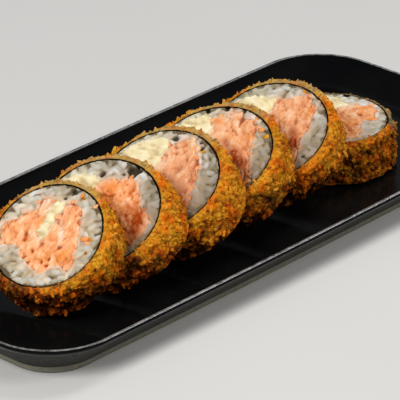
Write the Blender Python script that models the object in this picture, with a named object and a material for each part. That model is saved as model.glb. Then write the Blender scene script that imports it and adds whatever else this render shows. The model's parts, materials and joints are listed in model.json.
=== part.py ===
"""A row of six fried sushi roll slices that lean along a long black tray.

Sizes are in millimetres and angles in degrees until a mesh is made.
X runs along the tray, Y across it, and Z up. The origin is under the middle
of the tray, on the surface that it stands on.
"""

from collections import namedtuple
from math import ceil, cos, exp, hypot, pi, radians, sin, sqrt
from random import Random

import bmesh
import bpy
from mathutils import Matrix, Vector
from mathutils.geometry import delaunay_2d_cdt

MM = 0.001

# The tray: its crest is the top line of the rim.
CREST_LENGTH = 269.0
CREST_WIDTH = 114.0
CREST_CORNER = 26.0
SIDE_BOW = 0.9
TRAY_HEIGHT = 13.6
FLOOR_HEIGHT = 4.0
FOOT_INSET = 9.0
FOOT_HEIGHT = 2.3
FOOT_STEP_OUT = 0.7
FOOT_STEP_UP = 0.3
LIP_RADIUS = 0.9
LIP_THICKNESS = 2.4
LIP_STEPS = 4
# From the sloping inner wall to the floor: inset from the crest, height over the floor.
COVE = [(8.6, 1.3), (10.3, 0.35), (12.5, 0.0)]
SHARP_ANGLE = radians(35.0)
CORNER_STEPS = 8
LONG_SIDE_STEPS = 5
SHORT_SIDE_STEPS = 3

# The rolls: nori round rice and filling, in a coat of fried crumbs.
NORI_THICKNESS = 0.5
GAP = 0.3
UNEVEN = 0.45
SECOND_WAVE = 0.5
WAVE_SHIFT = 2.3
COAT_THICKNESS = 2.7
COAT_SWING = 0.8
COAT_THICK_SIDE = radians(-120.0)
FLARE_SIDE = radians(-90.0)
FLARE_WIDTH = radians(52.0)
CRAG = 0.75
CRAG_SHIFT = 0.6
CRAG_SLIP = 0.25
ROUND_STEPS = 44
COAT_ROWS = 7
COAT_SEED = 100
FACE_SEEDS = 10
GRAIN_SPACING = 3.0
GRAIN_RELIEF = 0.55
FLAKE_SPACING = 3.2
FLAKE_RELIEF = 0.6
CHEESE_SPACING = 4.5
CHEESE_RELIEF = 0.25
CURVE_STEPS = 2
# Shares of the spacing and the relief of the bumps on a cut face.
POINT_SHAKE = 0.2
EDGE_CLEARANCE = 0.45
EDGE_RELIEF = 0.4
SINK = 0.2
MERGE_DISTANCE = 1e-7

# along and across give the middle of the cut face over the tray, lean is how
# far the slice leans back, and turn how far it faces aside from the row. flare
# is how much thicker the coat gets towards the back on the side near the tray's
# front edge, where the crumbs cling in a clump.
Slice = namedtuple("Slice", "number along across lean turn thickness radius flare")
SLICES = [
    Slice(1, -89.4, -10.7, 34.5, 12.4, 15.0, 20.9, 0.8),
    Slice(2, -62.2, -9.4, 33.8, 14.3, 11.8, 23.0, 4.6),
    Slice(3, -31.3, -9.4, 30.9, 7.0, 14.7, 23.5, 3.0),
    Slice(4, -0.4, -8.3, 30.0, 7.8, 15.0, 23.0, 2.0),
    Slice(5, 30.5, -8.6, 31.2, 5.1, 13.2, 23.4, 0.9),
    Slice(6, 70.2, -5.4, 0.0, 0.0, 16.8, 22.9, 0.4),
]

# Gaps that show in the rice of a cut face: right, up, radius and depth.
POCKETS = {
    1: [(1.5, 19.3, 2.6, 2.4)],
    2: [(5.3, 19.6, 2.6, 3.0), (-5.8, 16.3, 2.2, 1.6)],
    3: [(-4.2, 19.2, 1.8, 1.8), (7.8, 19.8, 1.9, 1.8)],
    4: [(-5.6, 20.4, 1.7, 1.6), (-12.3, 17.6, 1.6, 1.4)],
    5: [],
    6: [],
}

# Each filling as it shows in the cut face: right and up from its middle.
# The outline starts where cheese meets salmon at the top and goes left round
# the cheese, which has cheese_knots of the points, and then round the salmon.
# The border is the line between the two, from the lower end back up.
Filling = namedtuple("Filling", "outline cheese_knots border")
FILLINGS = [
    Filling(
        [(0.6, 14.0), (-2.6, 13.6), (-6.1, 14.4), (-8.9, 13.6), (-9.0, 9.3),
         (-12.5, 6.8), (-14.8, 3.0), (-18.3, 0.8), (-18.2, -3.0), (-15.8, -7.0),
         (-12.0, -6.9), (-8.6, -6.4), (-5.5, -10.6), (0.6, -13.7), (4.4, -14.8),
         (7.0, -11.8), (9.6, -10.0), (13.1, -11.4), (14.4, -9.0), (13.6, -5.0),
         (12.2, 0.0), (10.6, 4.5), (9.4, 9.0), (7.5, 12.9), (4.0, 14.8)],
        1,
        [(-4.6, 8.8), (-3.9, 5.4), (-4.4, 0.2), (-2.6, -1.6), (-0.6, 0.6),
         (-0.8, 4.0), (-1.1, 7.0), (-0.2, 10.0)]),
    Filling(
        [(-5.5, 12.5), (-10.0, 14.0), (-16.0, 12.0), (-18.5, 7.0), (-17.0, 1.0),
         (-12.0, -3.0), (-8.0, -9.0), (-1.0, -13.0), (7.0, -14.0), (13.0, -12.5),
         (17.0, -9.0), (18.6, -5.0), (20.2, -1.5), (20.0, 2.0), (16.8, 4.6),
         (14.0, 6.5), (12.6, 10.0), (9.0, 14.6), (5.6, 16.6), (3.0, 14.4),
         (0.0, 15.2), (-3.2, 13.6)],
        5,
        [(-9.0, 2.0), (-6.5, 8.0)]),
    Filling(
        [(-5.0, 17.3), (-9.5, 17.6), (-14.5, 14.6), (-18.6, 10.0), (-19.8, 4.0),
         (-17.5, -2.0), (-11.5, -3.5), (-7.0, -9.0), (0.0, -13.5), (8.0, -14.5),
         (14.5, -12.0), (17.4, -6.5), (15.6, -0.5), (14.0, 5.0), (11.5, 11.5),
         (7.2, 17.0), (4.6, 20.2), (1.5, 21.2), (-0.8, 19.5), (-2.5, 16.5)],
        6,
        [(-7.5, 1.0), (-4.8, 7.0), (-5.0, 13.0)]),
    Filling(
        [(-8.5, 15.0), (-11.5, 15.6), (-15.0, 13.2), (-18.8, 9.6), (-19.4, 3.0),
         (-16.0, -2.0), (-11.0, -3.0), (-6.0, -9.0), (1.0, -12.0), (8.0, -14.0),
         (14.5, -12.0), (18.4, -8.6), (19.2, -5.4), (17.0, -1.0), (15.0, 2.6),
         (13.2, 5.8), (12.0, 9.5), (11.0, 14.0), (10.2, 17.6), (7.0, 19.4),
         (3.4, 19.0), (1.4, 20.4), (-1.2, 20.8), (-3.8, 20.0), (-4.8, 17.2),
         (-6.8, 16.0)],
        6,
        [(-7.0, 1.0), (-6.2, 7.0), (-7.8, 11.4)]),
    Filling(
        [(-6.0, 14.4), (-10.0, 13.8), (-15.5, 12.4), (-19.2, 8.6), (-19.6, 3.0),
         (-16.0, -2.0), (-11.0, -3.0), (-6.0, -8.5), (1.0, -12.0), (8.0, -14.0),
         (14.0, -13.6), (17.8, -9.5), (17.0, -5.6), (15.2, -2.0), (14.2, 2.5),
         (14.6, 7.0), (13.2, 11.0), (12.9, 15.0), (11.0, 17.4), (7.4, 19.6),
         (4.0, 20.4), (2.0, 18.0), (-0.5, 16.5), (-3.5, 15.6)],
        6,
        [(-6.5, 1.5), (-4.5, 7.0)]),
    Filling(
        [(-3.0, 14.4), (-6.5, 15.8), (-10.5, 15.6), (-14.6, 13.2), (-17.6, 9.4),
         (-18.6, 4.0), (-16.0, -1.0), (-11.0, -3.0), (-5.0, -9.0), (1.0, -12.5),
         (8.0, -14.0), (14.5, -12.8), (18.6, -9.0), (19.2, -5.8), (17.4, -2.0),
         (14.6, 1.2), (12.2, 4.6), (11.2, 7.2), (13.4, 8.8), (13.6, 11.2),
         (11.0, 14.0), (9.4, 17.4), (7.4, 19.2), (4.0, 20.0), (1.8, 18.0),
         (-0.6, 16.6)],
        7,
        [(-6.5, 2.0), (-4.5, 9.0)]),
]

# colour, roughness
FINISHES = {
    "tray": ((0.006, 0.006, 0.007), 0.12),
    "coating": ((0.52, 0.22, 0.035), 0.75),
    "nori": ((0.012, 0.016, 0.010), 0.5),
    "rice": ((0.70, 0.68, 0.63), 0.45),
    "salmon": ((0.86, 0.40, 0.24), 0.5),
    "cheese": ((0.90, 0.82, 0.55), 0.4),
}


def clear_scene():
    for old in list(bpy.data.objects):
        bpy.data.objects.remove(old, do_unlink=True)


def make_material(finish):
    colour, roughness = FINISHES[finish]
    material = bpy.data.materials.new(finish)
    material.use_nodes = True
    shader = material.node_tree.nodes["Principled BSDF"]
    shader.inputs["Base Color"].default_value = (*colour, 1.0)
    shader.inputs["Roughness"].default_value = roughness
    shader.inputs["Metallic"].default_value = 0.0
    return material


def add_solid(name, points, faces, material):
    """A closed mesh object from points in millimetres, with its faces turned out."""
    mesh = bpy.data.meshes.new(name)
    mesh.from_pydata([Vector(point) * MM for point in points], [], faces)
    shape = bmesh.new()
    shape.from_mesh(mesh)
    bmesh.ops.recalc_face_normals(shape, faces=shape.faces)
    shape.to_mesh(mesh)
    shape.free()
    mesh.materials.append(material)
    solid = bpy.data.objects.new(name, mesh)
    bpy.context.scene.collection.objects.link(solid)
    return solid


def ring_faces(rings, count, closed=False):
    """Quads between rings of points that follow one another."""
    faces = []
    last = rings if closed else rings - 1
    for ring in range(last):
        low = ring * count
        high = (ring + 1) % rings * count
        for step in range(count):
            after = (step + 1) % count
            faces.append((low + step, low + after, high + after, high + step))
    return faces


def crest_outline(offset):
    """The tray's rounded oblong, offset outwards from the crest line."""
    straight_x = CREST_LENGTH / 2 - CREST_CORNER
    straight_y = CREST_WIDTH / 2 - CREST_CORNER
    radius = CREST_CORNER + offset
    outline = []
    for quarter in range(4):
        start = quarter * pi / 2
        centre_x = straight_x * (1 if quarter in (0, 3) else -1)
        centre_y = straight_y * (1 if quarter in (0, 1) else -1)
        for step in range(CORNER_STEPS + 1):
            angle = start + pi / 2 * step / CORNER_STEPS
            outline.append((centre_x + radius * cos(angle), centre_y + radius * sin(angle)))
        end_x, end_y = outline[-1]
        long_side = quarter in (0, 2)
        steps = LONG_SIDE_STEPS if long_side else SHORT_SIDE_STEPS
        for step in range(1, steps):
            share = 2 * step / steps - 1
            if long_side:
                bow = SIDE_BOW * (1 - share * share)
                outline.append((-end_x * share, end_y + (bow if end_y > 0 else -bow)))
            else:
                outline.append((end_x, -end_y * share))
    return outline


def lip_profile():
    """The rim's round top from its outer side to its inner side."""
    points = []
    for step in range(LIP_STEPS + 1):
        angle = pi * step / LIP_STEPS
        reach = LIP_THICKNESS / 2 * cos(angle)
        points.append((reach, TRAY_HEIGHT - LIP_RADIUS * (1 - sin(angle))))
    return points


def make_tray():
    profile = [(-FOOT_INSET, 0.0), (-FOOT_INSET, FOOT_HEIGHT)]
    profile.append((-FOOT_INSET + FOOT_STEP_OUT, FOOT_HEIGHT + FOOT_STEP_UP))
    profile += lip_profile()
    profile += [(-inset, FLOOR_HEIGHT + height) for inset, height in COVE]
    points = []
    for offset, height in profile:
        points += [(x, y, height) for x, y in crest_outline(offset)]
    count = len(crest_outline(0.0))
    faces = ring_faces(len(profile), count)
    faces.append(tuple(range(count)))
    faces.append(tuple(range(len(points) - count, len(points))))
    tray = add_solid("tray", points, faces, make_material("tray"))
    tray.data.shade_smooth()
    tray.data.set_sharp_from_angle(angle=SHARP_ANGLE)


def roll_point(piece, angle, offset):
    """A point of the roll's uneven round, offset outwards from the nori's middle."""
    wave = sin(2 * angle + piece.number)
    wave += SECOND_WAVE * sin(3 * angle + WAVE_SHIFT * piece.number)
    radius = piece.radius + UNEVEN * wave / (1 + SECOND_WAVE) + offset
    return radius * cos(angle), radius * sin(angle)


def roll_loop(piece, offset):
    angles = [2 * pi * step / ROUND_STEPS for step in range(ROUND_STEPS)]
    return [roll_point(piece, angle, offset) for angle in angles]


def smooth_step(before, start, end, after, share):
    """One point of a Catmull-Rom curve between start and end."""
    square = share * share
    cube = square * share
    point = []
    for p, q, r, s in zip(before, start, end, after):
        point.append(0.5 * (2 * q + (r - p) * share + (2 * p - 5 * q + 4 * r - s) * square
                            + (3 * q - p - 3 * r + s) * cube))
    return tuple(point)


def smooth_closed(knots):
    curve = []
    count = len(knots)
    for index, start in enumerate(knots):
        around = [knots[(index + shift) % count] for shift in (-1, 0, 1, 2)]
        curve += [smooth_step(*around, step / CURVE_STEPS) for step in range(CURVE_STEPS)]
    return curve


def smooth_open(knots):
    """The points between the first and the last knot, without those two."""
    padded = [knots[0]] + knots + [knots[-1]]
    curve = []
    for index in range(len(knots) - 1):
        around = padded[index:index + 4]
        curve += [smooth_step(*around, step / CURVE_STEPS) for step in range(CURVE_STEPS)]
    return curve[1:]


def signed_area(loop):
    return sum(a[0] * b[1] - b[0] * a[1] for a, b in zip(loop, loop[1:] + loop[:1])) / 2


def grow(loop, distance):
    """The loop moved outwards by a distance, or inwards by a negative one."""
    if signed_area(loop) < 0:
        loop = loop[::-1]
    moved = []
    for index, point in enumerate(loop):
        before = loop[index - 1]
        after = loop[(index + 1) % len(loop)]
        normals = []
        for a, b in ((before, point), (point, after)):
            length = hypot(b[0] - a[0], b[1] - a[1])
            normals.append(((b[1] - a[1]) / length, (a[0] - b[0]) / length))
        sum_x = normals[0][0] + normals[1][0]
        sum_y = normals[0][1] + normals[1][1]
        share = distance * 2 / max(sum_x * sum_x + sum_y * sum_y, 1.0)
        moved.append((point[0] + sum_x * share, point[1] + sum_y * share))
    return moved


def filling_loops(filling):
    """Loops of the whole filling, the cheese and the salmon, in the slice's own axes."""
    outline = smooth_closed(filling.outline)
    split = filling.cheese_knots * CURVE_STEPS
    border = smooth_open([outline[split]] + filling.border + [outline[0]])
    cheese = outline[:split + 1] + border
    salmon = outline[split:] + [outline[0]] + border[::-1]
    return [[(up, -right) for right, up in loop] for loop in (outline, cheese, salmon)]


def inside(point, loop):
    x, y = point
    found = False
    for (ax, ay), (bx, by) in zip(loop, loop[1:] + loop[:1]):
        if (ay > y) != (by > y) and x < (bx - ax) * (y - ay) / (by - ay) + ax:
            found = not found
    return found


def edge_distance(point, loop):
    """How far a point is from the nearest side of a loop."""
    nearest = 1e9
    x, y = point
    for (ax, ay), (bx, by) in zip(loop, loop[1:] + loop[:1]):
        side_x, side_y = bx - ax, by - ay
        share = ((x - ax) * side_x + (y - ay) * side_y) / (side_x * side_x + side_y * side_y)
        share = min(max(share, 0.0), 1.0)
        nearest = min(nearest, hypot(x - ax - share * side_x, y - ay - share * side_y))
    return nearest


def scatter(loops, spacing, draw):
    """Points in staggered rows between the loops, shaken by a seeded draw."""
    reach = max(hypot(*point) for point in loops[0])
    rows = ceil(reach / (spacing * sqrt(3) / 2))
    points = []
    for row in range(-rows, rows + 1):
        for column in range(-rows - 1, rows + 2):
            shake_x = draw.uniform(-POINT_SHAKE, POINT_SHAKE)
            shake_y = draw.uniform(-POINT_SHAKE, POINT_SHAKE)
            x = (column + (row % 2) / 2 + shake_x) * spacing
            y = (row * sqrt(3) / 2 + shake_y) * spacing
            point = (x, y)
            if not inside(point, loops[0]) or any(inside(point, hole) for hole in loops[1:]):
                continue
            if min(edge_distance(point, loop) for loop in loops) > EDGE_CLEARANCE * spacing:
                points.append(point)
    return points


def fill_face(loops, extra):
    """Triangles that fill the first loop, without the holes, through the extra points."""
    points = [point for loop in loops for point in loop] + extra
    edges = []
    start = 0
    for loop in loops:
        count = len(loop)
        edges += [(start + step, start + (step + 1) % count) for step in range(count)]
        start += count
    joined = [Vector(point) for point in points]
    _, _, triangles, order, _, _ = delaunay_2d_cdt(joined, edges, [], 0, MERGE_DISTANCE, True)
    kept = []
    for triangle in triangles:
        corners = [order[index][0] for index in triangle]
        middle = [sum(points[index][axis] for index in corners) / 3 for axis in (0, 1)]
        if inside(middle, loops[0]) and not any(inside(middle, hole) for hole in loops[1:]):
            kept.append(tuple(corners))
    return points, kept


def pocket_depth(x, y, pockets):
    """How far the gaps in the rice sink a point of the cut face."""
    sink = 0.0
    for right, up, radius, depth in pockets:
        share = hypot(x - up, y + right) / radius
        sink = max(sink, depth * (1 - share * share))
    return sink


def add_prism(name, loops, depth, spacing, relief, seed, material, pockets=()):
    """A slab with an uneven front face at height 0 and a flat back at -depth."""
    draw = Random(seed)
    extra = scatter(loops, spacing, draw)
    front, front_faces = fill_face(loops, extra)
    flat_back, back_faces = fill_face(loops, [])
    rim = sum(len(loop) for loop in loops)
    points = []
    for index, (x, y) in enumerate(front):
        swing = relief * (EDGE_RELIEF if index < rim else 1.0)
        height = draw.uniform(-swing, swing) - relief * SINK
        points.append((x, y, height - pocket_depth(x, y, pockets)))
    points += [(x, y, -depth) for x, y in flat_back]
    shift = len(front)
    faces = list(front_faces)
    faces += [tuple(shift + index for index in reversed(face)) for face in back_faces]
    start = 0
    for loop in loops:
        count = len(loop)
        for step in range(count):
            a = start + step
            b = start + (step + 1) % count
            faces.append((a, b, shift + b))
            faces.append((a, shift + b, shift + a))
        start += count
    return add_solid(name, points, faces, material)


def coat_thickness(piece, angle, depth_share):
    """The coat's thickness at an angle round the slice, from front 0 to back 1."""
    thickness = COAT_THICKNESS + COAT_SWING * cos(angle - COAT_THICK_SIDE)
    away = (angle - FLARE_SIDE + pi) % (2 * pi) - pi
    flare = piece.flare * exp(-(away / FLARE_WIDTH) ** 2)
    return thickness + flare * sin(depth_share * pi / 2)


def add_coating(name, piece, material):
    """The crumb coat: a ring with a craggy outside and plain cut faces."""
    draw = Random(COAT_SEED + piece.number)
    inner = roll_loop(piece, NORI_THICKNESS / 2 + GAP)
    points = []
    for row in range(COAT_ROWS):
        share = row / (COAT_ROWS - 1)
        on_edge = row in (0, COAT_ROWS - 1)
        for step in range(ROUND_STEPS):
            slip = 0.0 if on_edge else draw.uniform(-CRAG_SLIP, CRAG_SLIP)
            angle = 2 * pi * (step + slip) / ROUND_STEPS
            reach = coat_thickness(piece, angle, share) + draw.uniform(-CRAG, CRAG)
            x, y = roll_point(piece, angle, reach)
            lift = 0.0 if on_edge else draw.uniform(-CRAG_SHIFT, CRAG_SHIFT)
            points.append((x, y, lift - share * piece.thickness))
    points += [(x, y, -piece.thickness) for x, y in inner]
    points += [(x, y, 0.0) for x, y in inner]
    faces = ring_faces(COAT_ROWS + 2, ROUND_STEPS, closed=True)
    return add_solid(name, points, faces, material)


def add_nori(name, piece, material):
    """The nori: a thin band round the rice, through the slice."""
    points = []
    for offset, height in ((1, 0.0), (1, -1.0), (-1, -1.0), (-1, 0.0)):
        loop = roll_loop(piece, offset * NORI_THICKNESS / 2)
        points += [(x, y, height * piece.thickness) for x, y in loop]
    faces = ring_faces(4, ROUND_STEPS, closed=True)
    return add_solid(name, points, faces, material)


def slice_turn(piece):
    """How a slice is turned: laid back against the row, then aside."""
    return (Matrix.Rotation(radians(piece.turn), 4, "Z")
            @ Matrix.Rotation(-radians(piece.lean), 4, "Y"))


def make_slice(piece, filling, materials):
    name = f"slice_{piece.number}"
    coating = add_coating(f"{name}_coating", piece, materials["coating"])
    nori = add_nori(f"{name}_nori", piece, materials["nori"])
    whole, cheese, salmon = filling_loops(filling)
    rice_edge = roll_loop(piece, -NORI_THICKNESS / 2 - GAP)
    seed = FACE_SEEDS * piece.number
    rice = add_prism(f"{name}_rice", [rice_edge, grow(whole, GAP / 2)], piece.thickness,
                     GRAIN_SPACING, GRAIN_RELIEF, seed, materials["rice"],
                     POCKETS[piece.number])
    core = add_prism(f"{name}_salmon", [grow(salmon, -GAP / 2)], piece.thickness,
                     FLAKE_SPACING, FLAKE_RELIEF, seed + 1, materials["salmon"])
    cream = add_prism(f"{name}_cheese", [grow(cheese, -GAP / 2)], piece.thickness,
                      CHEESE_SPACING, CHEESE_RELIEF, seed + 2, materials["cheese"])

    turn = slice_turn(piece)
    lowest = min((turn @ vertex.co).z for vertex in coating.data.vertices)
    holder = bpy.data.objects.new(name, None)
    bpy.context.scene.collection.objects.link(holder)
    holder.rotation_euler = turn.to_euler()
    height = (FLOOR_HEIGHT + GAP) * MM - lowest
    holder.location = (piece.along * MM, piece.across * MM, height)
    for solid in (coating, nori, rice, core, cream):
        solid.parent = holder


def main():
    clear_scene()
    make_tray()
    materials = {finish: make_material(finish) for finish in FINISHES if finish != "tray"}
    for piece, filling in zip(SLICES, FILLINGS):
        make_slice(piece, filling, materials)
    bpy.context.view_layer.update()


main()
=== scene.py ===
# %% [markdown]
# # Fried sushi roll on a long black tray
# Six thick slices of a breaded roll lean along a tray. Each slice has five layers that show at its cut
# face: a crust of fried crumbs, a thin nori band, rice, flaked salmon and cream cheese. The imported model
# holds those layers as plain solids in their true places. This lesson gives each one its real surface,
# so every piece below starts from the solid that it stands for.

# %% Load the solids
import json
import math
import random
from collections import namedtuple

import bmesh
import bpy
import numpy as np
from mathutils import Matrix, Vector, noise
from mathutils.bvhtree import BVHTree
from mathutils.geometry import delaunay_2d_cdt, intersect_line_line_2d

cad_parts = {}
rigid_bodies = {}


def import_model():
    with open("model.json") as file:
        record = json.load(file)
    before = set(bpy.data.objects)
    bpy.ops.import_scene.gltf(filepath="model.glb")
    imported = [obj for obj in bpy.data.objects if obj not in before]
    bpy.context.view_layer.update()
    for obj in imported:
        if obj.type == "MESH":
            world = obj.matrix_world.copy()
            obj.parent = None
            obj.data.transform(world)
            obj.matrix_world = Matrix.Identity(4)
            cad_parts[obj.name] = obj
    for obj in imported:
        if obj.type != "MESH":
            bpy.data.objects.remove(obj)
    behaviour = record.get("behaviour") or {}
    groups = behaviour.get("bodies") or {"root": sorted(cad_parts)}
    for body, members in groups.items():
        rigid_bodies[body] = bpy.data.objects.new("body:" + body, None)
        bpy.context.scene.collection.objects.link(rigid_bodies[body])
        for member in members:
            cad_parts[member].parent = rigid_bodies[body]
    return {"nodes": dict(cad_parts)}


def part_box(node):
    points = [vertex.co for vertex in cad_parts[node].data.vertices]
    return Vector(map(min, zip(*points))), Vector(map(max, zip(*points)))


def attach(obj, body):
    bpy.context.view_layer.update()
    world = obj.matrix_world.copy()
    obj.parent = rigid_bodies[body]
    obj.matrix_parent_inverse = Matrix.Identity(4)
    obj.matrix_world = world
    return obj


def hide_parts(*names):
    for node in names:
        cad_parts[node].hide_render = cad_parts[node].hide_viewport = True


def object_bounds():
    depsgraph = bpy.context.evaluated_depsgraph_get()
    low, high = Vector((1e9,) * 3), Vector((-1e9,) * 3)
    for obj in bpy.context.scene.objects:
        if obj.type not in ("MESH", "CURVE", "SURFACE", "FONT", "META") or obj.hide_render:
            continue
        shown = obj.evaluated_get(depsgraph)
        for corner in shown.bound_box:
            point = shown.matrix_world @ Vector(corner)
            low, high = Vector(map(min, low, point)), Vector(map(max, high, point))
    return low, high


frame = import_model()
solid_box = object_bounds()
MM = 0.001
print("solids:", len(frame["nodes"]))
print("box in mm:", [[round(v / MM, 1) for v in corner] for corner in solid_box])

# %% [markdown]
# ## Where each slice is
# A slice is easiest to work on lying flat: its cut face in the plane of up and left, its back below. The
# nori band tells where that plane is. The band is as deep at every angle, so the direction in which its
# corners spread least is the slice's own axis, and the highest of them along it are on the cut face.

# %% Read the slices from their nori bands
Slice = namedtuple("Slice", "number centre up left normal thickness radius")
LYING_SLOPE = 0.05


def solid(piece, layer):
    return frame["nodes"][f"slice_{piece.number}_{layer}"].data


def places_of(mesh):
    """Where a mesh's points are, in millimetres."""
    places = np.zeros(len(mesh.vertices) * 3)
    mesh.vertices.foreach_get("co", places)
    return places.reshape(-1, 3) / MM


def find_slice(number):
    ring = np.unique(places_of(frame["nodes"][f"slice_{number}_nori"].data).round(3), axis=0)
    middle = ring.mean(axis=0)
    normal = np.linalg.eigh(np.cov((ring - middle).T))[1][:, 0]
    normal = normal * np.sign(normal[2])
    heights = (ring - middle) @ normal
    thickness = heights.max() - heights.min()
    slope = np.array((0.0, 0.0, 1.0)) - normal * normal[2]
    up = slope if np.linalg.norm(slope) > LYING_SLOPE else np.array((1.0, 0.0, 0.0))
    up = up / np.linalg.norm(up)
    radius = np.linalg.norm(ring - middle - np.outer(heights, normal), axis=1).mean()
    centre = middle + normal * thickness / 2
    return Slice(number, centre, up, np.cross(normal, up), normal, thickness, radius)


def to_slice(piece, points):
    """Points in millimetres as up, left and out of the cut face."""
    return (points - piece.centre) @ np.column_stack((piece.up, piece.left, piece.normal))


def from_slice(piece, points):
    return piece.centre + np.asarray(points) @ np.array((piece.up, piece.left, piece.normal))


SLICES = [find_slice(number) for number in range(1, 7)]
for piece in SLICES:
    print("slice", piece.number, "centre", piece.centre.round(1), "thickness", round(piece.thickness, 1),
          "nori radius", round(piece.radius, 1))

# %% [markdown]
# ## The outline of each layer
# A layer's flat back has the same outline as its cut face. Its border is found from the triangles: an
# edge inside the back belongs to two of them, one each way, and an edge on the border to only one.

# %% Read the outlines
FLAT_TOLERANCE = 0.02
LAYERS = ("nori", "rice", "salmon", "cheese")


def chain(edges):
    """Directed edges joined end to start into loops of corner numbers."""
    after = dict(edges)
    loops = []
    while after:
        loop = [next(iter(after))]
        step = after.pop(loop[0])
        while step != loop[0]:
            loop.append(step)
            step = after.pop(step)
        loops.append(loop)
    return loops


def signed_area(loop):
    x, y = loop.T
    return float(np.sum(x * np.roll(y, -1) - np.roll(x, -1) * y)) / 2


def layer_outlines(piece, layer):
    """A layer's outlines in the slice's plane, the widest first, all turning the same way."""
    mesh = solid(piece, layer)
    places, number = np.unique(to_slice(piece, places_of(mesh)).round(2), axis=0, return_inverse=True)
    number = number.reshape(-1)
    mesh.calc_loop_triangles()
    edges = set()
    for triangle in mesh.loop_triangles:
        a, b, c = (int(number[corner]) for corner in triangle.vertices)
        if max(places[a][2], places[b][2], places[c][2]) < -piece.thickness + FLAT_TOLERANCE:
            edges |= {(a, b), (b, c), (c, a)}
    border = sorted((a, b) for a, b in edges if (b, a) not in edges)
    loops = [places[loop][:, :2] for loop in chain(border)]
    loops = [loop if signed_area(loop) > 0 else loop[::-1] for loop in loops]
    return sorted(loops, key=signed_area, reverse=True)


OUTLINES = {(piece.number, layer): layer_outlines(piece, layer) for piece in SLICES for layer in LAYERS}
print("outline corners of slice 1:", {layer: [len(loop) for loop in OUTLINES[1, layer]] for layer in LAYERS})

# %% [markdown]
# ## A fine sheet for a cut face
# Food needs many small faces at the cut, where its texture shows. The outline is first drawn as a smooth
# curve through its corners. Staggered points then fill it, shaken a little so that no rows show, and a
# Delaunay triangulation joins them. Its triangles are as even as the points allow.

# %% Helpers for fine sheets
POINT_SHAKE = 0.25
MERGE_DISTANCE = 1e-6


def smooth_loop(loop, spacing):
    """A closed Catmull-Rom curve through the corners, with about one point for each spacing."""
    curve = []
    for before, start, end, after in zip(*(np.roll(loop, turn, axis=0) for turn in (1, 0, -1, -2))):
        steps = max(1, round(float(np.linalg.norm(end - start)) / spacing))
        for t in (step / steps for step in range(steps)):
            bent, twisted = 2 * before - 5 * start + 4 * end - after, 3 * start - before - 3 * end + after
            curve.append(0.5 * (2 * start + (end - before) * t + bent * t**2 + twisted * t**3))
    return np.array(curve)


def move_outline(loop, distance):
    """A loop moved outwards by a distance, or inwards by a negative one."""
    along = np.roll(loop, -1, axis=0) - np.roll(loop, 1, axis=0)
    along /= np.linalg.norm(along, axis=1)[:, None]
    return loop + distance * np.column_stack((along[:, 1], -along[:, 0]))


def inside(points, loop):
    """For each point, whether it is inside the loop."""
    x, y = points[:, :1], points[:, 1:2]
    ax, ay = loop.T
    bx, by = np.roll(loop, -1, axis=0).T
    rise = np.where(np.abs(by - ay) < 1e-12, 1e-12, by - ay)
    crossing = ((ay > y) != (by > y)) & (x < (bx - ax) * (y - ay) / rise + ax)
    return crossing.sum(axis=1) % 2 == 1


def edge_distance(points, loop):
    """For each point, how far the nearest side of the loop is."""
    side = (np.roll(loop, -1, axis=0) - loop)[None]
    away = points[:, None] - loop[None]
    share = np.clip((away * side).sum(axis=2) / (side**2).sum(axis=2), 0, 1)
    return np.linalg.norm(away - share[..., None] * side, axis=2).min(axis=1)


def within(points, loops):
    """For each point, whether it is in the first loop and in none of the others."""
    found = inside(points, loops[0])
    for hole in loops[1:]:
        found &= ~inside(points, hole)
    return found


def scattered(loops, spacing, seed):
    """Staggered and shaken points that fill the first loop, clear of its own edge and of the holes."""
    low, high = loops[0].min(axis=0), loops[0].max(axis=0)
    rows = np.arange(low[1], high[1], spacing * math.sqrt(3) / 2)
    columns = np.arange(low[0], high[0], spacing)
    grid = np.array([(x + (row % 2) * spacing / 2, y) for row, y in enumerate(rows) for x in columns])
    grid += np.random.default_rng(seed).uniform(-POINT_SHAKE, POINT_SHAKE, grid.shape) * spacing
    grid = grid[within(grid, loops)]
    return grid[np.min([edge_distance(grid, loop) for loop in loops], axis=0) > spacing * 0.5]


def loop_edges(loops):
    """Pairs of neighbouring points for loops that are numbered one after another."""
    edges = []
    for loop in loops:
        start = len(edges)
        edges += [(start + step, start + (step + 1) % len(loop)) for step in range(len(loop))]
    return edges


def fine_sheet(loops, spacing, seed):
    """Points and triangles that fill the loops. The loops' own points come first."""
    points = [Vector(point) for point in np.vstack(loops + [scattered(loops, spacing, seed)])]
    places, _, triangles, _, _, _ = delaunay_2d_cdt(points, loop_edges(loops), [], 0, MERGE_DISTANCE)
    places, triangles = (np.array([tuple(row) for row in rows]) for rows in (places, triangles))
    return places, triangles[within(places[triangles].mean(axis=1), loops)]


test_sheet = fine_sheet([smooth_loop(OUTLINES[1, "salmon"][0], 0.5)], 0.5, seed=1)
print("fine sheet of slice 1's salmon:", len(test_sheet[0]), "points,", len(test_sheet[1]), "triangles")

# %% [markdown]
# ## Making and joining meshes
# A finished piece sits at the origin with its place in its mesh, so every mesh is turned from the flat
# slice to its leaning place before it becomes an object. Numbers that the materials need, such as how
# deep a crevice is, are stored with the points as attributes.

# %% Helpers for meshes
BACK_SPACING = 2.0


def place_at(mesh, places):
    """A mesh's points set to places in millimetres."""
    mesh.vertices.foreach_set("co", (places * MM).ravel())


def store(mesh, label, values):
    """One number for each point of a mesh, kept with it."""
    layer = mesh.attributes.get(label) or mesh.attributes.new(label, "FLOAT", "POINT")
    layer.data.foreach_set("value", np.asarray(values, np.float32))


def stored_in(mesh, label):
    """The numbers kept with a mesh's points."""
    values = np.zeros(len(mesh.vertices), np.float32)
    mesh.attributes[label].data.foreach_get("value", values)
    return values


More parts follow.
